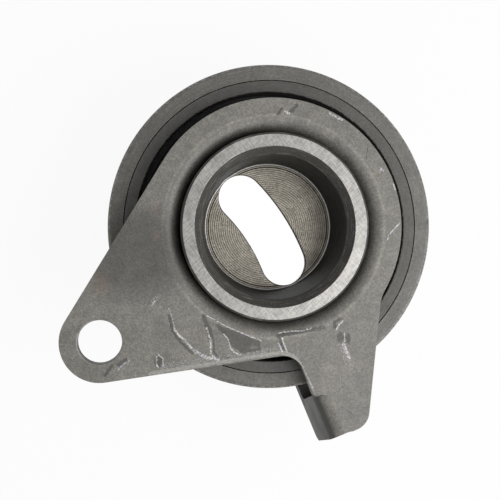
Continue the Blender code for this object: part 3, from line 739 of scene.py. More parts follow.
    def most(self, masks):
        """The strongest of several masks, each one made as it is needed."""
        total = None
        for mask in masks:
            total = self.math("MAXIMUM", total, mask) if total else mask
        return total

    def strokes(self, place, table):
        """The lines of a table of marks."""
        return self.most(self.stroke(place, points, width) for points, width in table)

    def spots(self, place, table, soft=0.3):
        """The ellipses of a table of marks."""
        return self.most(self.spot(place, centre, size, soft) for centre, size in table)

    def upper(self):
        """1 on faces that look up, 0 on sides and below."""
        return self.ramp(self.rise, *UPWARD)

    def finish(self, tint, roughness, height, depth, gloss=None):
        """Feed the shader: colour, roughness, a bump depth millimetres high, and sheen."""
        if gloss:
            self.feed(self.shader.inputs["Specular IOR Level"], gloss)
        self.feed(self.shader.inputs["Base Color"], tint)
        self.feed(self.shader.inputs["Roughness"], roughness)
        bump = self.node("ShaderNodeBump", {"Height": height, "Distance": depth * MM, "Strength": 1.0})
        self.feed(self.shader.inputs["Normal"], bump.outputs[0])
        return self.material


def coat_pattern(finish, tint, contrast):
    """Phosphate coat: fine crystals, small light flecks and broad soft patches in one colour."""
    crystals, patches, clouds = finish.noise(5.0), finish.noise(0.16), finish.noise(0.6)
    flecks = finish.noise(2.3, 2.0, roughness=0.6)
    level = 1.0
    for pattern, share in zip((crystals, flecks, patches, clouds), COAT_SHARES):
        step = contrast * share
        level = finish.math("MULTIPLY", level, finish.spread(pattern, 1 - step, 1 + step))
    level = finish.math("ADD", level, finish.ramp(flecks, *LIGHT_FLECKS, 0.0, contrast))
    return finish.scaled(tint, level), crystals, patches


def paint_fold_and_horn_shade(finish, tint):
    """Paint shade on the fold of the tab and on the spring's horn, where little light reaches; also gives the
    mask of the fold.
    """
    arm = settings().arm
    down = Vector((math.cos(arm.leg_angle), math.sin(arm.leg_angle), 0.0))
    along, across = finish.reach(down), finish.reach(Vector((down.y, -down.x, 0.0)))
    edge, tab_start = (arm.leg_left - arm.tab_bend) / MM, PULLEY_RADIUS / MM
    fold = finish.product(
        finish.ramp(across, edge - 0.9, edge), finish.ramp(along, tab_start + 0.8, tab_start + 1.6),
    )
    bent = finish.product(finish.ramp(finish.rise, *BEND_RISE), finish.ramp(finish.z, *BEND_HEIGHT))
    # Painted shade on the fold, darkest near its top
    tint = finish.darken(tint, finish.product(fold, bent), FOLD_PAINTED_SHADE_DEPTH)
    # Painted shade on the spring's horn, deep under the plate
    horn_top = (PLATE_TOP - TAB_DEPTH + arm.horn_height) / MM
    horn_end = (PULLEY_RADIUS + arm.tab_clearance + math.tan(arm.tab_slant) * TAB_DEPTH) / MM
    horn = finish.product(
        finish.ramp(finish.z, horn_top + 0.3, horn_top + 0.1),
        finish.ramp(along, horn_end + 1.2, horn_end + 0.6),
    )
    return finish.darken(tint, horn, HORN_PAINTED_SHADE_DEPTH), fold


def shade_films(finish, tint, place, top):
    """Darken the films of oil, with the clear places in them."""
    films = finish.most((
        finish.most(finish.patch(place, points) for points in FILM_PATCHES),
        finish.strokes(place, FILM_STROKES),
        finish.spots(place, FILM_SPOTS),
    ))
    clear = finish.spots(place, FILM_HOLES, 0.6)
    films = finish.math("SUBTRACT", films, finish.product(clear, 0.6), clamp=True)
    return finish.darken(tint, finish.product(films, top), FILM_DEPTH)


def draw_outlines(finish, tint, place, fine_place, top, colours):
    """Bright, broken outlines of dried oil with frosty crystals round them, and a painted glint on a cut
    edge; the frost along the lower edge is partly a painted highlight. Also gives their mask.
    """
    # Outlines of oil, with one painted glint
    lines = finish.strokes(fine_place, OUTLINE_AND_GLINT_STROKES)
    broken = finish.ramp(finish.noise(2.6, vector=finish.flat), *BROKEN_OUTLINE)
    lines = finish.product(lines, broken, top)
    # Frost, which along the lower edge is partly a painted highlight
    frost = finish.strokes(place, FROST_AND_HIGHLIGHT_STROKES)
    frost = finish.product(frost, finish.ramp(finish.noise(4.5, vector=finish.flat), *FROST_CRYSTALS))
    lines = finish.math("MAXIMUM", lines, finish.product(frost, FROST_AND_HIGHLIGHT_STRENGTH))
    hue = finish.blend(finish.ramp(finish.noise(1.5, 2.0), *VIOLET_PLACES), colours.oil, colours.violet)
    return finish.blend(finish.product(lines, OUTLINE_STRENGTH), tint, hue), lines


def wear_and_highlight_edges(finish, tint, crease, fold, colours):
    """Edges lightened, partly rubbed wear and partly a painted highlight on the rounded upper edges, and
    upright marks of the press tool on the cut sides.
    """
    worn = finish.ramp(finish.off(finish.rise, ARM_WEAR_AND_HIGHLIGHT), *ARM_WEAR_AND_HIGHLIGHT_FADE)
    outside = finish.product(
        finish.ramp(finish.radius, crease, crease + 1.0), finish.ramp(fold, 0.0, 0.5, 1.0, 0.0),
    )
    worn = finish.product(worn, outside, finish.spread(finish.noise(0.8), *ARM_WEAR_AND_HIGHLIGHT_NOISE))
    # Lighten the edges: partly rubbed wear, partly a painted highlight
    tint = finish.blend(finish.product(worn, WORN_AND_HIGHLIGHT_STRENGTH), tint, colours.oil)
    cut = finish.noise(3.0, 2.0, stretch=(1.0, 1.0, 0.08))
    side = finish.ramp(finish.math("ABSOLUTE", finish.rise), *SIDE_RISE)
    return finish.mottle(tint, finish.product(side, cut), *PRESS_MARKS)


def arm_finish(colours):
    """Stamped, phosphated steel with dried oil, dark smudges, small scratches and worn edges."""
    finish = Finish("stamped_steel", Metallic=0.05)
    tint, crystals, patches = coat_pattern(finish, colours.coat, ARM_CONTRAST)
    place, fine_place = finish.ragged(WIDE_RAGGED), finish.ragged(FINE_RAGGED)
    top = finish.upper()
    # Painted shade on the tab's fold and the spring's horn
    tint, fold = paint_fold_and_horn_shade(finish, tint)

    # Painted shade darkens the coat towards the pivot; brown stains lie on it too
    tint = finish.darken(tint, finish.spot(place, *PIVOT_PAINTED_SHADE, 0.8), PIVOT_PAINTED_SHADE_DEPTH)
    tint = finish.blend(finish.product(finish.spots(place, STAINS, 0.9), STAIN_STRENGTH), tint, colours.rust)

    tint = shade_films(finish, tint, place, top)
    tint, lines = draw_outlines(finish, tint, place, fine_place, top, colours)

    # A painted highlight of the rolled lower edges, partly rubbed wear, over a wider band; then thin dark
    # cracks and scratches
    rubbed = finish.product(finish.strokes(place, EDGE_WEAR_AND_HIGHLIGHT_STROKES), finish.ramp(crystals, *EDGE_WEAR_AND_HIGHLIGHT_CRYSTALS))
    tint = finish.blend(finish.product(rubbed, top), tint, colours.oil)
    tint = finish.darken(tint, finish.product(finish.strokes(fine_place, DARK_STROKES), top), CRACK_DEPTH)

    # Painted shade darkens the rolled shoulder towards the hub, behind a faint painted highlight on the
    # crease
    roll_start = (settings().hub.radius + settings().arm.collar_gap) / MM
    crease = roll_start + settings().arm.collar_roll / MM
    tint = finish.scaled(tint, finish.ramp(finish.radius, roll_start, crease, ROLL_PAINTED_SHADE, 1.0))
    line = finish.ramp(finish.off(finish.radius, crease + 0.2), 0.0, 0.5, CREASE_PAINTED_HIGHLIGHT, 0.0)
    tint = finish.scaled(tint, finish.math("ADD", line, 1.0))
    # Edges lightened partly by wear, partly by a painted highlight
    tint = wear_and_highlight_edges(finish, tint, crease, fold, colours)

    roughness = finish.math(
        "ADD", finish.ramp(crystals, *ARM_ROUGHNESS), finish.spread(patches, *ARM_PATCH_ROUGHNESS),
    )
    roughness = finish.math("SUBTRACT", roughness, finish.product(lines, 0.1))
    height = finish.math("ADD", crystals, finish.product(lines, 1.2))
    gloss = finish.ramp(finish.math("ABSOLUTE", finish.rise), *ARM_GLOSS)
    return finish.finish(tint, roughness, height, ARM_BUMP, gloss)


def well_finish(colours):
    """Coat of the well's wall, painted near black as a painted shade of the deep well and made lighter on the
    mouth's chamfer as a painted highlight, over faint turning marks, with a few light smears.
    """
    finish = Finish("well_steel", Metallic=0.1, Specular_IOR_Level=0.2)
    # Painted shade: the near-black coat of the deep well
    tint, _, _ = coat_pattern(finish, colours.well_coat_painted_shade, WELL_CONTRAST)
    rings = finish.noise(3.0, 2.0, finish.polar(0.6), stretch=(0.2, 0.2, 3.0))
    smears = finish.noise(0.7, vector=finish.polar(6.0), stretch=(1.0, 1.0, 4.0))
    tint = finish.scaled(tint, finish.ramp(smears, *WELL_SMEARS))
    # Painted highlight: the mouth's chamfer is made lighter than the dark wall
    chamfer = (HUB_TOP - settings().hub.mouth_chamfer) / MM
    tint = finish.scaled(tint, finish.ramp(finish.z, chamfer - 0.1, chamfer + 0.1, 1.0, 2.6))
    return finish.finish(tint, finish.spread(rings, *WELL_ROUGHNESS), rings, WELL_BUMP)


def ground_finish(colours):
    """Ground steel with fine crossing scratches and a faint cloud."""
    finish = Finish("ground_steel", Metallic=1.0)
    scratches, crossing = (
        finish.noise(1.0, 2.0, stretch=SCRATCH_STRETCH, turn=turn) for turn in SCRATCH_TURNS
    )
    both = finish.math("ADD", scratches, crossing)
    tint = finish.scaled(colours.ground, finish.ramp(both, *SCRATCH_TINT))
    tint = finish.mottle(tint, finish.noise(3.0), *GROUND_GRAIN)
    tint = finish.mottle(tint, finish.noise(0.22, 2.0), *GROUND_CLOUD)
    return finish.finish(tint, finish.ramp(both, *GROUND_ROUGHNESS), both, GROUND_BUMP)


def floor_finish(colours):
    """Turned floor with one fine groove to each turn of the tool; at its edge painted shade at the foot of
    the wall and a painted highlight line on the fillet.
    """
    finish = Finish("turned_steel", Metallic=0.85)
    hub = settings().hub
    rim = (hub.radius - hub.face_width - hub.mouth_chamfer - hub.well_taper) / MM
    way = finish.math("ADD", finish.radius, finish.product(finish.noise(0.5, 2.0), 0.12))
    grooves = finish.math("SINE", finish.product(way, math.tau / GROOVE_PITCH))
    broken = finish.noise(1.6, 4.0, roughness=0.7)
    marks = finish.product(grooves, finish.spread(broken, *GROOVE_BREAKS))
    tint = finish.scaled(colours.turned, finish.ramp(marks, *GROOVE_TINT))
    tint = finish.mottle(tint, finish.noise(0.35), *FLOOR_CLOUD)
    tint = finish.mottle(tint, finish.noise(4.0, 2.0), *FLOOR_GRAIN)
    tint = finish.scaled(tint, finish.ramp(finish.noise(2.6, 2.0), *FLOOR_PITS))
    # A painted highlight line on the fillet, over painted shade that darkens the floor towards the foot of
    # the wall
    line = finish.ramp(finish.off(finish.radius, rim - 0.12), 0.22, 0.1)
    tint = finish.scaled(tint, finish.ramp(finish.radius, rim - 0.7, rim - 0.3, 1.0, 0.5))
    tint = finish.blend(line, tint, colours.ground)
    return finish.finish(tint, finish.spread(broken, *FLOOR_ROUGHNESS), marks, FLOOR_BUMP)


def shell_finish(name, tint, line_width, marked=False):
    """Phosphate coat over fine lines that run round the axis, with rubbed edges and small marks."""
    finish = Finish(name, Metallic=0.2)
    painted, crystals, _ = coat_pattern(finish, tint, SLEEVE_CONTRAST)
    lines = finish.noise(1 / line_width, 2.0, finish.polar(1.0), stretch=(0.3, 0.3, 1.0))
    painted = finish.mottle(painted, lines, *SLEEVE_LINES)
    if marked:
        place = finish.ragged(SLEEVE_RAGGED)
        marks = finish.most((finish.spots(place, SLEEVE_SPECKS), finish.strokes(place, SLEEVE_SCRATCHES)))
        painted = finish.darken(painted, finish.product(marks, finish.upper()), 0.5)
    edge = finish.ramp(finish.off(finish.rise, SLEEVE_WEAR), *SLEEVE_WEAR_FADE)
    edge = finish.product(edge, finish.ramp(finish.noise(2.2), *EDGE_BREAKS))
    painted = finish.blend(edge, painted, settings().finish.oil)
    roughness = finish.spread(lines, *SLEEVE_ROUGHNESS)
    return finish.finish(painted, roughness, finish.math("ADD", lines, crystals), SLEEVE_BUMP)


def plain_finish(name, tint, metallic, low, high, grain, depth):
    """Polished steel, rubber or nylon with its fine grain."""
    finish = Finish(name, Metallic=metallic)
    speckle = finish.noise(grain)
    painted = finish.mottle(tint, speckle, *PLAIN_GRAIN)
    return finish.finish(painted, finish.spread(speckle, low, high), speckle, depth)


def settings():
    """What the user has set."""
    return bpy.context.scene.tensioner


def race(land_radius, side, sizes):
    """Upper half of a ball groove, from its deepest point to the land; side is +1 or -1."""
    groove = BALL_RADIUS + sizes.ball_gap
    end = math.acos(abs(land_radius - PITCH_RADIUS) / groove)
    turns = [end * i / RACE_STEPS for i in range(1, RACE_STEPS + 1)]
    return [(PITCH_RADIUS + side * groove * math.cos(a), groove * math.sin(a)) for a in turns]


class TENSIONER_OT_shell(bpy.types.Operator):
    """Build the smooth sleeve that the belt runs on"""

    bl_idname = "tensioner.shell"
    bl_label = "Belt sleeve"

    def execute(self, context):
        sizes, colours = settings().pulley, settings().finish
        half = PULLEY_WIDTH / 2
        bore = PULLEY_RADIUS - sizes.shell_wall
        profile = rounded([
            (bore, half, sizes.seam_edge),
            (PULLEY_RADIUS, half, sizes.shell_edge),
            (PULLEY_RADIUS, -half, sizes.shell_edge),
            (bore, -half, sizes.seam_edge),
        ], FILLET_STEPS)
        mesh = mesh_from(turned(lifted(profile, BEARING_HEIGHT), TURNED_SEGMENTS), "pulley_shell")
        steel = shell_finish("sleeve_steel", colours.shell, 0.3, marked=True)
        show("belt_sleeve", mesh, "pulley", ["pulley_shell"], [steel])
        return {"FINISHED"}


class TENSIONER_OT_rings(bpy.types.Operator):
    """Build the bearing's two rings"""

    bl_idname = "tensioner.rings"
    bl_label = "Bearing rings"

    def execute(self, context):
        self.outer_ring()
        self.inner_ring()
        return {"FINISHED"}

    def outer_ring(self):
        """The outer ring with its ball groove and a deep bore at each end."""
        sizes, colours = settings().pulley, settings().finish
        half = PULLEY_WIDTH / 2
        bore = OUTER_RING_RADIUS - sizes.outer_ring_wall
        groove = bore + sizes.seal_groove
        land = SEAL_LOW.z - BEARING_HEIGHT - sizes.fit_gap
        groove_top = SEAL_HIGH.z - BEARING_HEIGHT + sizes.fit_gap
        land_radius = PITCH_RADIUS + BALL_RADIUS + sizes.ball_gap - sizes.race_depth
        upper = rounded([
            (OUTER_RING_RADIUS, 0.0, 0.0),
            (OUTER_RING_RADIUS, half, sizes.seam_edge),
            (bore, half, sizes.ring_chamfer),
            (bore, groove_top + sizes.seal_groove, 0.0),
            (groove, groove_top, 0.0),
            (groove, land, 0.0),
            (land_radius, land, 0.0),
        ], closed=False)[1:]
        profile = mirrored(upper + list(reversed(race(land_radius, 1, sizes))))
        mesh = mesh_from(turned(lifted(profile, BEARING_HEIGHT), TURNED_SEGMENTS), "outer_ring")
        steel = shell_finish("bearing_ring_steel", colours.ring, 0.25)
        show("bearing_outer_ring", mesh, "pulley", ["outer_ring"], [steel])

    def inner_ring(self):
        """The inner ring, pressed on the hub."""
        sizes, colours = settings().pulley, settings().finish
        bore = settings().hub.radius + sizes.fit_gap
        half = (RING_HIGH.z - RING_LOW.z) / 2
        upper = rounded([
            (bore, 0.0, 0.0),
            (bore, half, sizes.ring_chamfer),
            (INNER_LAND_RADIUS, half, sizes.ring_chamfer),
            (INNER_LAND_RADIUS, 0.0, 0.0),
        ], closed=False)[1:-1]
        profile = mirrored(upper + list(reversed(race(INNER_LAND_RADIUS, -1, sizes))))
        middle = (RING_HIGH.z + RING_LOW.z) / 2
        mesh = mesh_from(turned(lifted(profile, middle), TURNED_SEGMENTS), "inner_ring")
        steel = plain_finish("ground_race_steel", colours.race, 1.0, 0.2, 0.32, 3.0, 0.004)
        show("bearing_inner_ring", mesh, "arm", ["inner_ring"], [steel])


class TENSIONER_OT_seals(bpy.types.Operator):
    """Build the bearing's two moulded seals"""

    bl_idname = "tensioner.seals"
    bl_label = "Seals"

    def execute(self, context):
        sizes, colours = settings().pulley, settings().finish
        rubber = plain_finish("moulded_rubber", colours.rubber, 0.0, 0.5, 0.66, 4.0, 0.03)
        low = SEAL_LOW.z - BEARING_HEIGHT
        high = SEAL_HIGH.z - BEARING_HEIGHT
        rim = half_width(SEAL_LOW, SEAL_HIGH)
        lip = INNER_LAND_RADIUS + sizes.fit_gap
        step = sizes.ring_chamfer
        web_low = high - sizes.seal_web
        half = rounded([
            (rim, low, step / 2),
            (rim, high, step),
            (rim - sizes.seal_bead, high, step),
            (rim - sizes.seal_bead - step, high - step, 0.0),
            (lip + sizes.seal_lip, high - step, step / 2),
            (lip, web_low, 0.0),
            (lip, low + step, 0.0),
            (lip + sizes.seal_lip, web_low - step, step / 2),
            (rim - sizes.seal_bead, web_low - step, 0.0),
            (rim - sizes.seal_bead, low, step / 2),
        ])
        for name, side in (("seal_upper", 1), ("seal_lower", -1)):
            profile = [(r, BEARING_HEIGHT + side * z) for r, z in half]
            mesh = mesh_from(turned(profile, TURNED_SEGMENTS), name)
            show("bearing_" + name, mesh, "pulley", [name], [rubber])
        return {"FINISHED"}


class TENSIONER_OT_balls(bpy.types.Operator):
    """Build the moulded cage and the balls that it spaces"""

    bl_idname = "tensioner.balls"
    bl_label = "Cage and balls"

    def execute(self, context):
        self.cage()
        self.balls()
        return {"FINISHED"}

    def cage(self):
        """The ring of the cage with a round pocket for each ball."""
        sizes, colours = settings().pulley, settings().finish
        outer = half_width(CAGE_LOW, CAGE_HIGH)
        inner = 2 * PITCH_RADIUS - outer
        profile = [(outer, CAGE_LOW.z), (outer, CAGE_HIGH.z), (inner, CAGE_HIGH.z), (inner, CAGE_LOW.z)]
        ring = mesh_from(turned(profile, BALL_COUNT * CAGE_FACETS_PER_BALL), "cage")
        pockets = bmesh.new()
        pocket = BALL_RADIUS + sizes.fit_gap
        middle = Matrix.Translation((PITCH_RADIUS, 0, BEARING_HEIGHT)) @ Matrix.Rotation(math.pi / 2, 4, "Y")
        for i in range(BALL_COUNT):
            bmesh.ops.create_cone(
                pockets, cap_ends=True, segments=POCKET_SEGMENTS, radius1=pocket, radius2=pocket,
                depth=outer - inner + 2 * CUT_MARGIN,
                matrix=Matrix.Rotation(math.tau * i / BALL_COUNT, 4, "Z") @ middle,
            )
        mesh = carve(ring, [("DIFFERENCE", mesh_from(pockets, "pockets"))])
        nylon = plain_finish("moulded_nylon", colours.nylon, 0.0, 0.42, 0.55, 2.0, 0.01)
        show("bearing_cage", mesh, "cage", ["cage"], [nylon])

    def balls(self):
        """One polished ball in each pocket."""
        steel = plain_finish("polished_ball_steel", settings().finish.ball, 1.0, 0.05, 0.1, 1.0, 0.001)
        for i in range(BALL_COUNT):
            turn = math.tau * i / BALL_COUNT
            shape = bmesh.new()
            bmesh.ops.create_uvsphere(
                shape, u_segments=BALL_SEGMENTS, v_segments=BALL_SEGMENTS // 2, radius=BALL_RADIUS,
            )
            place = (PITCH_RADIUS * math.cos(turn), PITCH_RADIUS * math.sin(turn), BEARING_HEIGHT)
            bmesh.ops.translate(shape, verts=shape.verts, vec=place)
            node = f"ball_{i + 1:02d}"
            show("bearing_" + node, mesh_from(shape, node), "cage", [node], [steel])


def pivot_place():
    """The pivot hole's middle in plan."""
    arm = settings().arm
    return Vector((math.cos(arm.pivot_angle), math.sin(arm.pivot_angle))) * arm.pivot_distance


class TENSIONER_OT_hub(bpy.types.Operator):
    """Build the turned hub with its ground face, well, slot and recess"""

    bl_idname = "tensioner.hub"
    bl_label = "Hub"

    def execute(self, context):
        sizes, colours = settings().hub, settings().finish
        mouth = sizes.radius - sizes.face_width
        wall = mouth - sizes.mouth_chamfer
        floor_radius = wall - sizes.well_taper
        floor = HUB_TOP - sizes.well_depth
        web_low = floor - sizes.web
        recess = sizes.radius - sizes.recess_wall
        crown = sizes.radius + sizes.crown
        shoulder_low = RING_HIGH.z + settings().pulley.fit_gap
        shoulder_top = shoulder_low + sizes.shoulder
        groove = sizes.floor_groove
        groove_edge = floor_radius - sizes.well_fillet
        mouth_edge = sizes.edge / 4
        profile = rounded([
            (0.0, floor, 0.0),
            (groove_edge - 3 * groove, floor, 0.0),
            (groove_edge - 2 * groove, floor - groove, 0.0),
            (groove_edge - groove, floor, 0.0),
            (floor_radius, floor, sizes.well_fillet * FILLET_SHARE),
            (wall, HUB_TOP - sizes.mouth_chamfer, sizes.edge * 2),
            (mouth, HUB_TOP, mouth_edge),
            (crown - sizes.crown_edge, HUB_TOP, 0.0),
            (crown, HUB_TOP - sizes.crown_edge, 0.0),
            (crown, shoulder_top, 0.0),
            (HUB_SHOULDER_RADIUS, shoulder_top, sizes.edge),
            (HUB_SHOULDER_RADIUS, shoulder_low, sizes.edge),
            (sizes.radius, shoulder_low, 0.0),
            (sizes.radius, HUB_LOW, sizes.edge),
            (recess + sizes.recess_chamfer, HUB_LOW, sizes.edge),
            (recess, HUB_LOW + sizes.recess_chamfer, sizes.edge),
            (recess, web_low, sizes.edge * 2),
            (0.0, web_low, 0.0),
        ], FILLET_STEPS, closed=False)
        cutter = mesh_from(lofted(self.slot_rings(floor, web_low, floor_radius)), "slot")
        solid = mesh_from(turned(profile, TURNED_SEGMENTS, closed=False), "hub")
        mesh = carve(solid, [("DIFFERENCE", cutter)])
        face_edge = HUB_TOP - mouth_edge
        floor_band = sizes.well_fillet * FLOOR_BAND

        def zone(middle, normal):
            reach = math.hypot(middle.x, middle.y)
            near_floor = reach < floor_radius and abs(middle.z - floor) < floor_band
            if middle.z > face_edge and normal.z > LEVEL_FACE:
                return 1
            if near_floor and normal.z > SLOPING_FACE:
                return 2
            return 0

        steels = [well_finish(colours), ground_finish(colours), floor_finish(colours)]
        show("turned_hub", mesh, "arm", ["hub"], steels, zone)
        return {"FINISHED"}

    def slot_rings(self, floor, web_low, floor_radius):
        """The slot's outlines from below the web to above the floor, with its upper edge rounded."""
        sizes = settings().hub
        levels = [(sizes.slot_draft, web_low - CUT_MARGIN), (sizes.slot_draft, web_low)]
        levels += [(spread, floor - drop) for spread, drop in edge_steps(sizes.slot_edge)]
        levels.append((sizes.slot_edge, floor + CUT_MARGIN))
        return [(self.slot(spread, floor_radius), z) for spread, z in levels]

    def slot(self, spread, floor_radius):
        """An arc about the pivot hole with round ends, wider by spread on every side."""
        sizes, arm, pivot = settings().hub, settings().arm, pivot_place()
        radius = arm.pivot_distance - sizes.slot_inset
        swing = math.asin((floor_radius - sizes.slot_end_gap - sizes.slot_width / 2) / radius)
        start, end = arm.pivot_angle - math.pi - swing, arm.pivot_angle - math.pi + swing
        ends = [pivot + radius * Vector((math.cos(a), math.sin(a))) for a in (start, end)]
        half = sizes.slot_width / 2 + spread
        return (
            arc(pivot, radius + half, start, end)[:-1]
            + arc(ends[1], half, end, end + math.pi, SLOT_END_STEPS)[:-1]
            + arc(pivot, radius - half, end, start)[:-1]
            + arc(ends[0], half, start + math.pi, start + math.tau, SLOT_END_STEPS)[:-1]
        )


class TENSIONER_OT_arm(bpy.types.Operator):
    """Build the stamped arm with its collar, leg and folded spring tab"""

    bl_idname = "tensioner.arm"
    bl_label = "Arm plate"

    def execute(self, context):
        sizes = settings().arm
        self.down = Vector((math.cos(sizes.leg_angle), math.sin(sizes.leg_angle)))
        self.out = Vector((self.down.y, -self.down.x))
        self.plate_low = PLATE_TOP - sizes.plate
        blank_edge = sizes.leg_left - sizes.tab_bend - JOIN_OVERLAP
        collar, hole_radius = self.collar()
        span = (self.plate_low - CUT_MARGIN, PLATE_TOP + CUT_MARGIN)
        mesh = carve(self.blank(blank_edge), [
            ("UNION", self.tab(blank_edge - sizes.edge - JOIN_OVERLAP)),
            ("DIFFERENCE", mesh_from(prism(circle((0, 0), hole_radius, TURNED_SEGMENTS), *span), "hub_hole")),
            ("DIFFERENCE", self.pivot_cutter()),
            ("UNION", collar),
        ])
        show("stamped_arm", mesh, "arm", ["arm_plate"], [arm_finish(settings().finish)])
        return {"FINISHED"}

    def in_leg(self, down, out):
        """Plan point given along the leg and outwards from its centre line through the hub."""
        return self.down * down + self.out * out

    def outline(self, tab_root):
        """Plan of the plate; beside the tab its edge lies at tab_root, inside the bend."""
        sizes, pivot = settings().arm, pivot_place()
        head = settings().hub.radius + sizes.head_rim
        reach = PULLEY_RADIUS + sizes.leg_overhang
        spread = math.acos((head - sizes.pivot_end) / sizes.pivot_distance)
        upper, lower = sizes.pivot_angle - spread, sizes.pivot_angle + spread
        lower_normal = Vector((math.cos(lower), math.sin(lower)))
        meeting = Vector((head + sizes.left_fillet, sizes.leg_left + sizes.left_fillet))
        left_centre = Matrix((lower_normal, self.out)).inverted() @ meeting

        right = Vector((math.cos(sizes.leg_right_angle), math.sin(sizes.leg_right_angle)))
        right_down = Vector((right.y, -right.x))
        foot_corner = self.in_leg(reach, sizes.leg_left - sizes.leg_foot)
        right_offset = right.dot(foot_corner)
        across = right_offset - sizes.leg_corner
        corner_centre = right * across + right_down * math.sqrt((reach - sizes.leg_corner) ** 2 - across ** 2)
        across = right_offset + sizes.right_fillet
        right_centre = right * across + right_down * math.sqrt((head + sizes.right_fillet) ** 2 - across ** 2)

        tab_start = PULLEY_RADIUS + sizes.tab_clearance + sizes.tab_slant * sizes.plate
        tab_foot = self.in_leg(math.sqrt(reach ** 2 - tab_root ** 2), tab_root)
        head_turn = angle_of(right_centre)
        return (
            arc((0, 0), head, head_turn, upper)
            + arc(pivot, sizes.pivot_end, upper, lower)
            + arc(left_centre, sizes.left_fillet, lower - math.pi, angle_of(-self.out))
            + [tuple(self.in_leg(tab_start, sizes.leg_left)), tuple(self.in_leg(tab_start, tab_root))]
            + arc((0, 0), reach, angle_of(tab_foot), angle_of(corner_centre))[:-1]
            + arc(corner_centre, sizes.leg_corner, angle_of(corner_centre), sizes.leg_right_angle)
            + arc(right_centre, sizes.right_fillet, sizes.leg_right_angle + math.pi, head_turn + math.pi)[:-1]
        )

    def blank(self, tab_root):
        """The flat plate with its upper edge rounded, as a press tool leaves it."""
        shape = prism(self.outline(tab_root), self.plate_low, PLATE_TOP)
        top_edges = [e for e in shape.edges if all(v.co.z > PLATE_TOP - WELD for v in e.verts)]
        bmesh.ops.bevel(
            shape, geom=top_edges, offset=settings().arm.edge, segments=EDGE_STEPS, profile=ROUND_PROFILE,
            affect="EDGES",
        )
        return mesh_from(shape, "plate")

    def pivot_cutter(self):
        """The pivot hole with its upper edge drawn in by the punch."""
        sizes, pivot = settings().arm, pivot_place()
        levels = [(0.0, self.plate_low - CUT_MARGIN)]
        levels += [(spread, PLATE_TOP - drop) for spread, drop in edge_steps(sizes.hole_edge)]
        levels.append((sizes.hole_edge, PLATE_TOP + CUT_MARGIN))
        rings = [(circle(pivot, sizes.pivot_hole + spread, HOLE_SEGMENTS), z) for spread, z in levels]
        return mesh_from(lofted(rings), "pivot_hole")

    def collar(self):
        """The collar drawn down round the hub with its rolled shoulder, and the radius of its hole."""
        sizes = settings().arm
        bore = settings().hub.radius + sizes.collar_gap
        outside = bore + sizes.collar_wall
        crease = bore + sizes.collar_roll
        hole = max(crease, outside + sizes.collar_fillet) + JOIN_OVERLAP
        join = hole + JOIN_OVERLAP
        low = PLATE_TOP - sizes.collar_height
        roll_centre = (crease, PLATE_TOP - sizes.collar_roll)
        root_centre = (outside + sizes.collar_fillet, self.plate_low - sizes.collar_fillet)
        profile = [
            (join, PLATE_TOP),
            *arc(roll_centre, sizes.collar_roll, math.pi / 2, math.pi, ROLL_STEPS),
            (bore, low),
            (outside, low),
            *arc(root_centre, sizes.collar_fillet, math.pi, math.pi / 2, FILLET_STEPS),
            (join, self.plate_low),
        ]
        return mesh_from(turned(profile, TURNED_SEGMENTS), "collar"), hole

    def tab(self, root):
        """The spring tab: a bent section along the leg, trimmed to its slanted outline with its horn."""
        sizes = settings().arm
        low = PLATE_TOP - TAB_DEPTH
        lean = Vector((math.sin(sizes.tab_lean), -math.cos(sizes.tab_lean)))
        inward = Vector((-math.cos(sizes.tab_lean), -math.sin(sizes.tab_lean)))
        corner = Vector((sizes.leg_left, PLATE_TOP))
        outer_end = corner + lean * (TAB_DEPTH + CUT_MARGIN)
        inner_end = outer_end + inward * sizes.plate
        inside = corner + inward * sizes.plate
        inner_corner = inside + lean * (inside.y - self.plate_low) / math.cos(sizes.tab_lean)
        section = rounded([
            (root, self.plate_low, 0),
            (*inner_corner, sizes.tab_inner),
            (*inner_end, 0),
            (*outer_end, 0),
            (*corner, sizes.tab_bend),
            (root, PLATE_TOP, 0),
        ], ROLL_STEPS)
        start = PULLEY_RADIUS + sizes.tab_clearance
        end = start + sizes.tab_length
        slope = math.tan(sizes.tab_slant)
        bar = prism(section, start - CUT_MARGIN, end + slope * TAB_DEPTH + CUT_MARGIN)
        upright = Matrix((
            (self.out.x, 0, self.down.x, 0), (self.out.y, 0, self.down.y, 0), (0, 1, 0, 0), (0, 0, 0, 1),
        ))
        bmesh.ops.transform(bar, matrix=upright, verts=bar.verts)
        horn_top = low + sizes.horn_height
        above = PLATE_TOP + CUT_MARGIN
        outline = rounded([
            (start - slope * CUT_MARGIN, above, 0),
            (start + slope * (PLATE_TOP - horn_top), horn_top, sizes.horn_corner),
            (start, horn_top, sizes.horn_corner),
            (start, low, sizes.horn_corner),
            (end + slope * TAB_DEPTH, low, sizes.tab_corner),
            (end - slope * CUT_MARGIN, above, 0),
        ], FILLET_STEPS)
        trim = prism(outline, root - CUT_MARGIN, sizes.leg_left + TAB_DEPTH)
        facing = Matrix((
            (self.down.x, 0, self.out.x, 0), (self.down.y, 0, self.out.y, 0), (0, 1, 0, 0), (0, 0, 0, 1),
        ))
        bmesh.ops.transform(trim, matrix=facing, verts=trim.verts)
        return carve(mesh_from(bar, "tab"), [("INTERSECT", mesh_from(trim, "tab_outline"))])


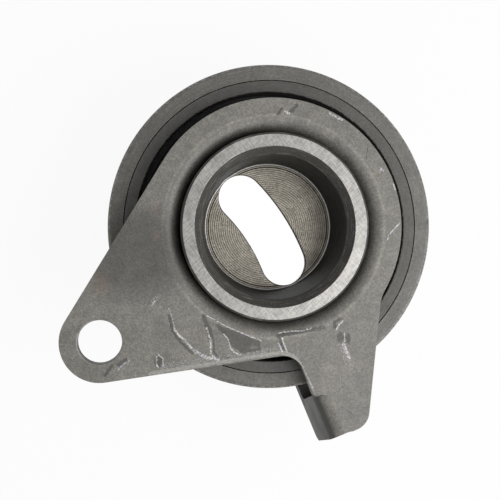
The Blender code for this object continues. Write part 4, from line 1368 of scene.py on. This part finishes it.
class TENSIONER_OT_stage(bpy.types.Operator):
    """Set up the floor, the soft light and the camera"""

    bl_idname = "tensioner.stage"
    bl_label = "Stage"

    def execute(self, context):
        stage = settings().stage
        self.floor(stage)
        self.world(stage)
        self.lamp("key", stage.key_power, stage.key_place, stage.key_size)
        self.camera(stage)
        context.scene.view_settings.view_transform = "Standard"
        return {"FINISHED"}

    def seen_ray(self, tree):
        """1 where the camera, a reflection or a clear material looks, else 0."""
        path = tree.nodes.new("ShaderNodeLightPath").outputs
        total = path["Is Camera Ray"]
        for name in ("Is Glossy Ray", "Is Transmission Ray"):
            either = tree.nodes.new("ShaderNodeMath")
            either.operation = "MAXIMUM"
            tree.links.new(total, either.inputs[0])
            tree.links.new(path[name], either.inputs[1])
            total = either.outputs[0]
        return total

    def floor(self, stage):
        """A square of pale paper under the pulley that glows white in view."""
        shape = bmesh.new()
        bmesh.ops.create_grid(shape, x_segments=1, y_segments=1, size=stage.floor_size / 2)
        item = bpy.data.objects.new("floor", mesh_from(shape, "floor"))
        bpy.context.scene.collection.objects.link(item)
        finish = Finish("floor_paper", Roughness=0.9)
        finish.feed(finish.shader.inputs["Base Color"], stage.floor_colour)
        glow = finish.node("ShaderNodeEmission", {"Color": (1.0, 1.0, 1.0), "Strength": 1.0}).outputs[0]
        reach = finish.measure("LENGTH", finish.vector("ADD", finish.place, -AXIS / MM))
        share = finish.product(self.seen_ray(finish.tree), finish.ramp(reach, *GLOW_REACH, 1.0, GLOW_SHARE))
        mix = finish.node("ShaderNodeMixShader", {0: share, 1: finish.shader.outputs[0], 2: glow}).outputs[0]
        finish.feed(finish.tree.nodes["Material Output"].inputs["Surface"], mix)
        item.data.materials.append(finish.material)

    def world(self, stage):
        """A white background in view, and a softer level for the light that falls on things."""
        world = bpy.data.worlds.new("studio")
        world.use_nodes = True
        tree = world.node_tree
        level = tree.nodes.new("ShaderNodeMapRange")
        tree.links.new(self.seen_ray(tree), level.inputs["Value"])
        level.inputs["To Min"].default_value = stage.soft_level
        tree.links.new(level.outputs["Result"], tree.nodes["Background"].inputs["Strength"])
        tree.nodes["Background"].inputs["Color"].default_value = (1.0, 1.0, 1.0, 1.0)
        bpy.context.scene.world = world

    def lamp(self, name, power, place, size):
        """A soft square lamp that faces the hub."""
        data = bpy.data.lights.new(name, "AREA")
        data.energy = power
        data.size = size
        item = bpy.data.objects.new(name, data)
        item.location = AXIS + Vector(place)
        aim = AXIS + Vector((0, 0, HUB_TOP)) - item.location
        item.rotation_euler = aim.to_track_quat("-Z", "Y").to_euler()
        bpy.context.scene.collection.objects.link(item)

    def camera(self, stage):
        """The camera of the photograph."""
        data = bpy.data.cameras.new("camera")
        data.lens = stage.lens
        data.clip_start = CLIP_START
        item = bpy.data.objects.new("camera", data)
        yaw, pitch, roll = stage.turn
        turn = Matrix.Rotation(yaw, 4, "Y") @ Matrix.Rotation(pitch, 4, "X") @ Matrix.Rotation(roll, 4, "Z")
        item.matrix_world = Matrix.Translation(AXIS + Vector(stage.eye)) @ turn
        bpy.context.scene.collection.objects.link(item)
        bpy.context.scene.camera = item


OPERATORS = (
    TENSIONER_OT_stage,
    TENSIONER_OT_shell,
    TENSIONER_OT_rings,
    TENSIONER_OT_seals,
    TENSIONER_OT_balls,
    TENSIONER_OT_hub,
    TENSIONER_OT_arm,
)


class TENSIONER_PT_sidebar(bpy.types.Panel):
    """Lists the pieces and their sizes"""

    bl_idname = "TENSIONER_PT_sidebar"
    bl_label = "Tensioner"
    bl_space_type = "VIEW_3D"
    bl_region_type = "UI"
    bl_category = "Tensioner"

    def draw(self, context):
        for operator in OPERATORS:
            self.layout.operator(operator.bl_idname)
        for name in ("pulley", "hub", "arm", "finish", "stage"):
            group = getattr(context.scene.tensioner, name)
            box = self.layout.box()
            box.label(text=name.capitalize())
            for key in group.bl_rna.properties.keys():
                if key not in ("rna_type", "name"):
                    box.prop(group, key)


CLASSES = (
    TensionerPulleySizes,
    TensionerHubSizes,
    TensionerArmSizes,
    TensionerFinishes,
    TensionerStage,
    Tensioner,
    *OPERATORS,
    TENSIONER_PT_sidebar,
)


def register():
    for cls in CLASSES:
        bpy.utils.register_class(cls)
    bpy.types.Scene.tensioner = PointerProperty(type=Tensioner)


def unregister():
    del bpy.types.Scene.tensioner
    for cls in reversed(CLASSES):
        bpy.utils.unregister_class(cls)


def main():
    register()
    bpy.ops.tensioner.stage()
    bpy.ops.tensioner.shell()
    bpy.ops.tensioner.rings()
    bpy.ops.tensioner.seals()
    bpy.ops.tensioner.balls()
    bpy.ops.tensioner.hub()
    bpy.ops.tensioner.arm()


if __name__ == "__main__":
    main()
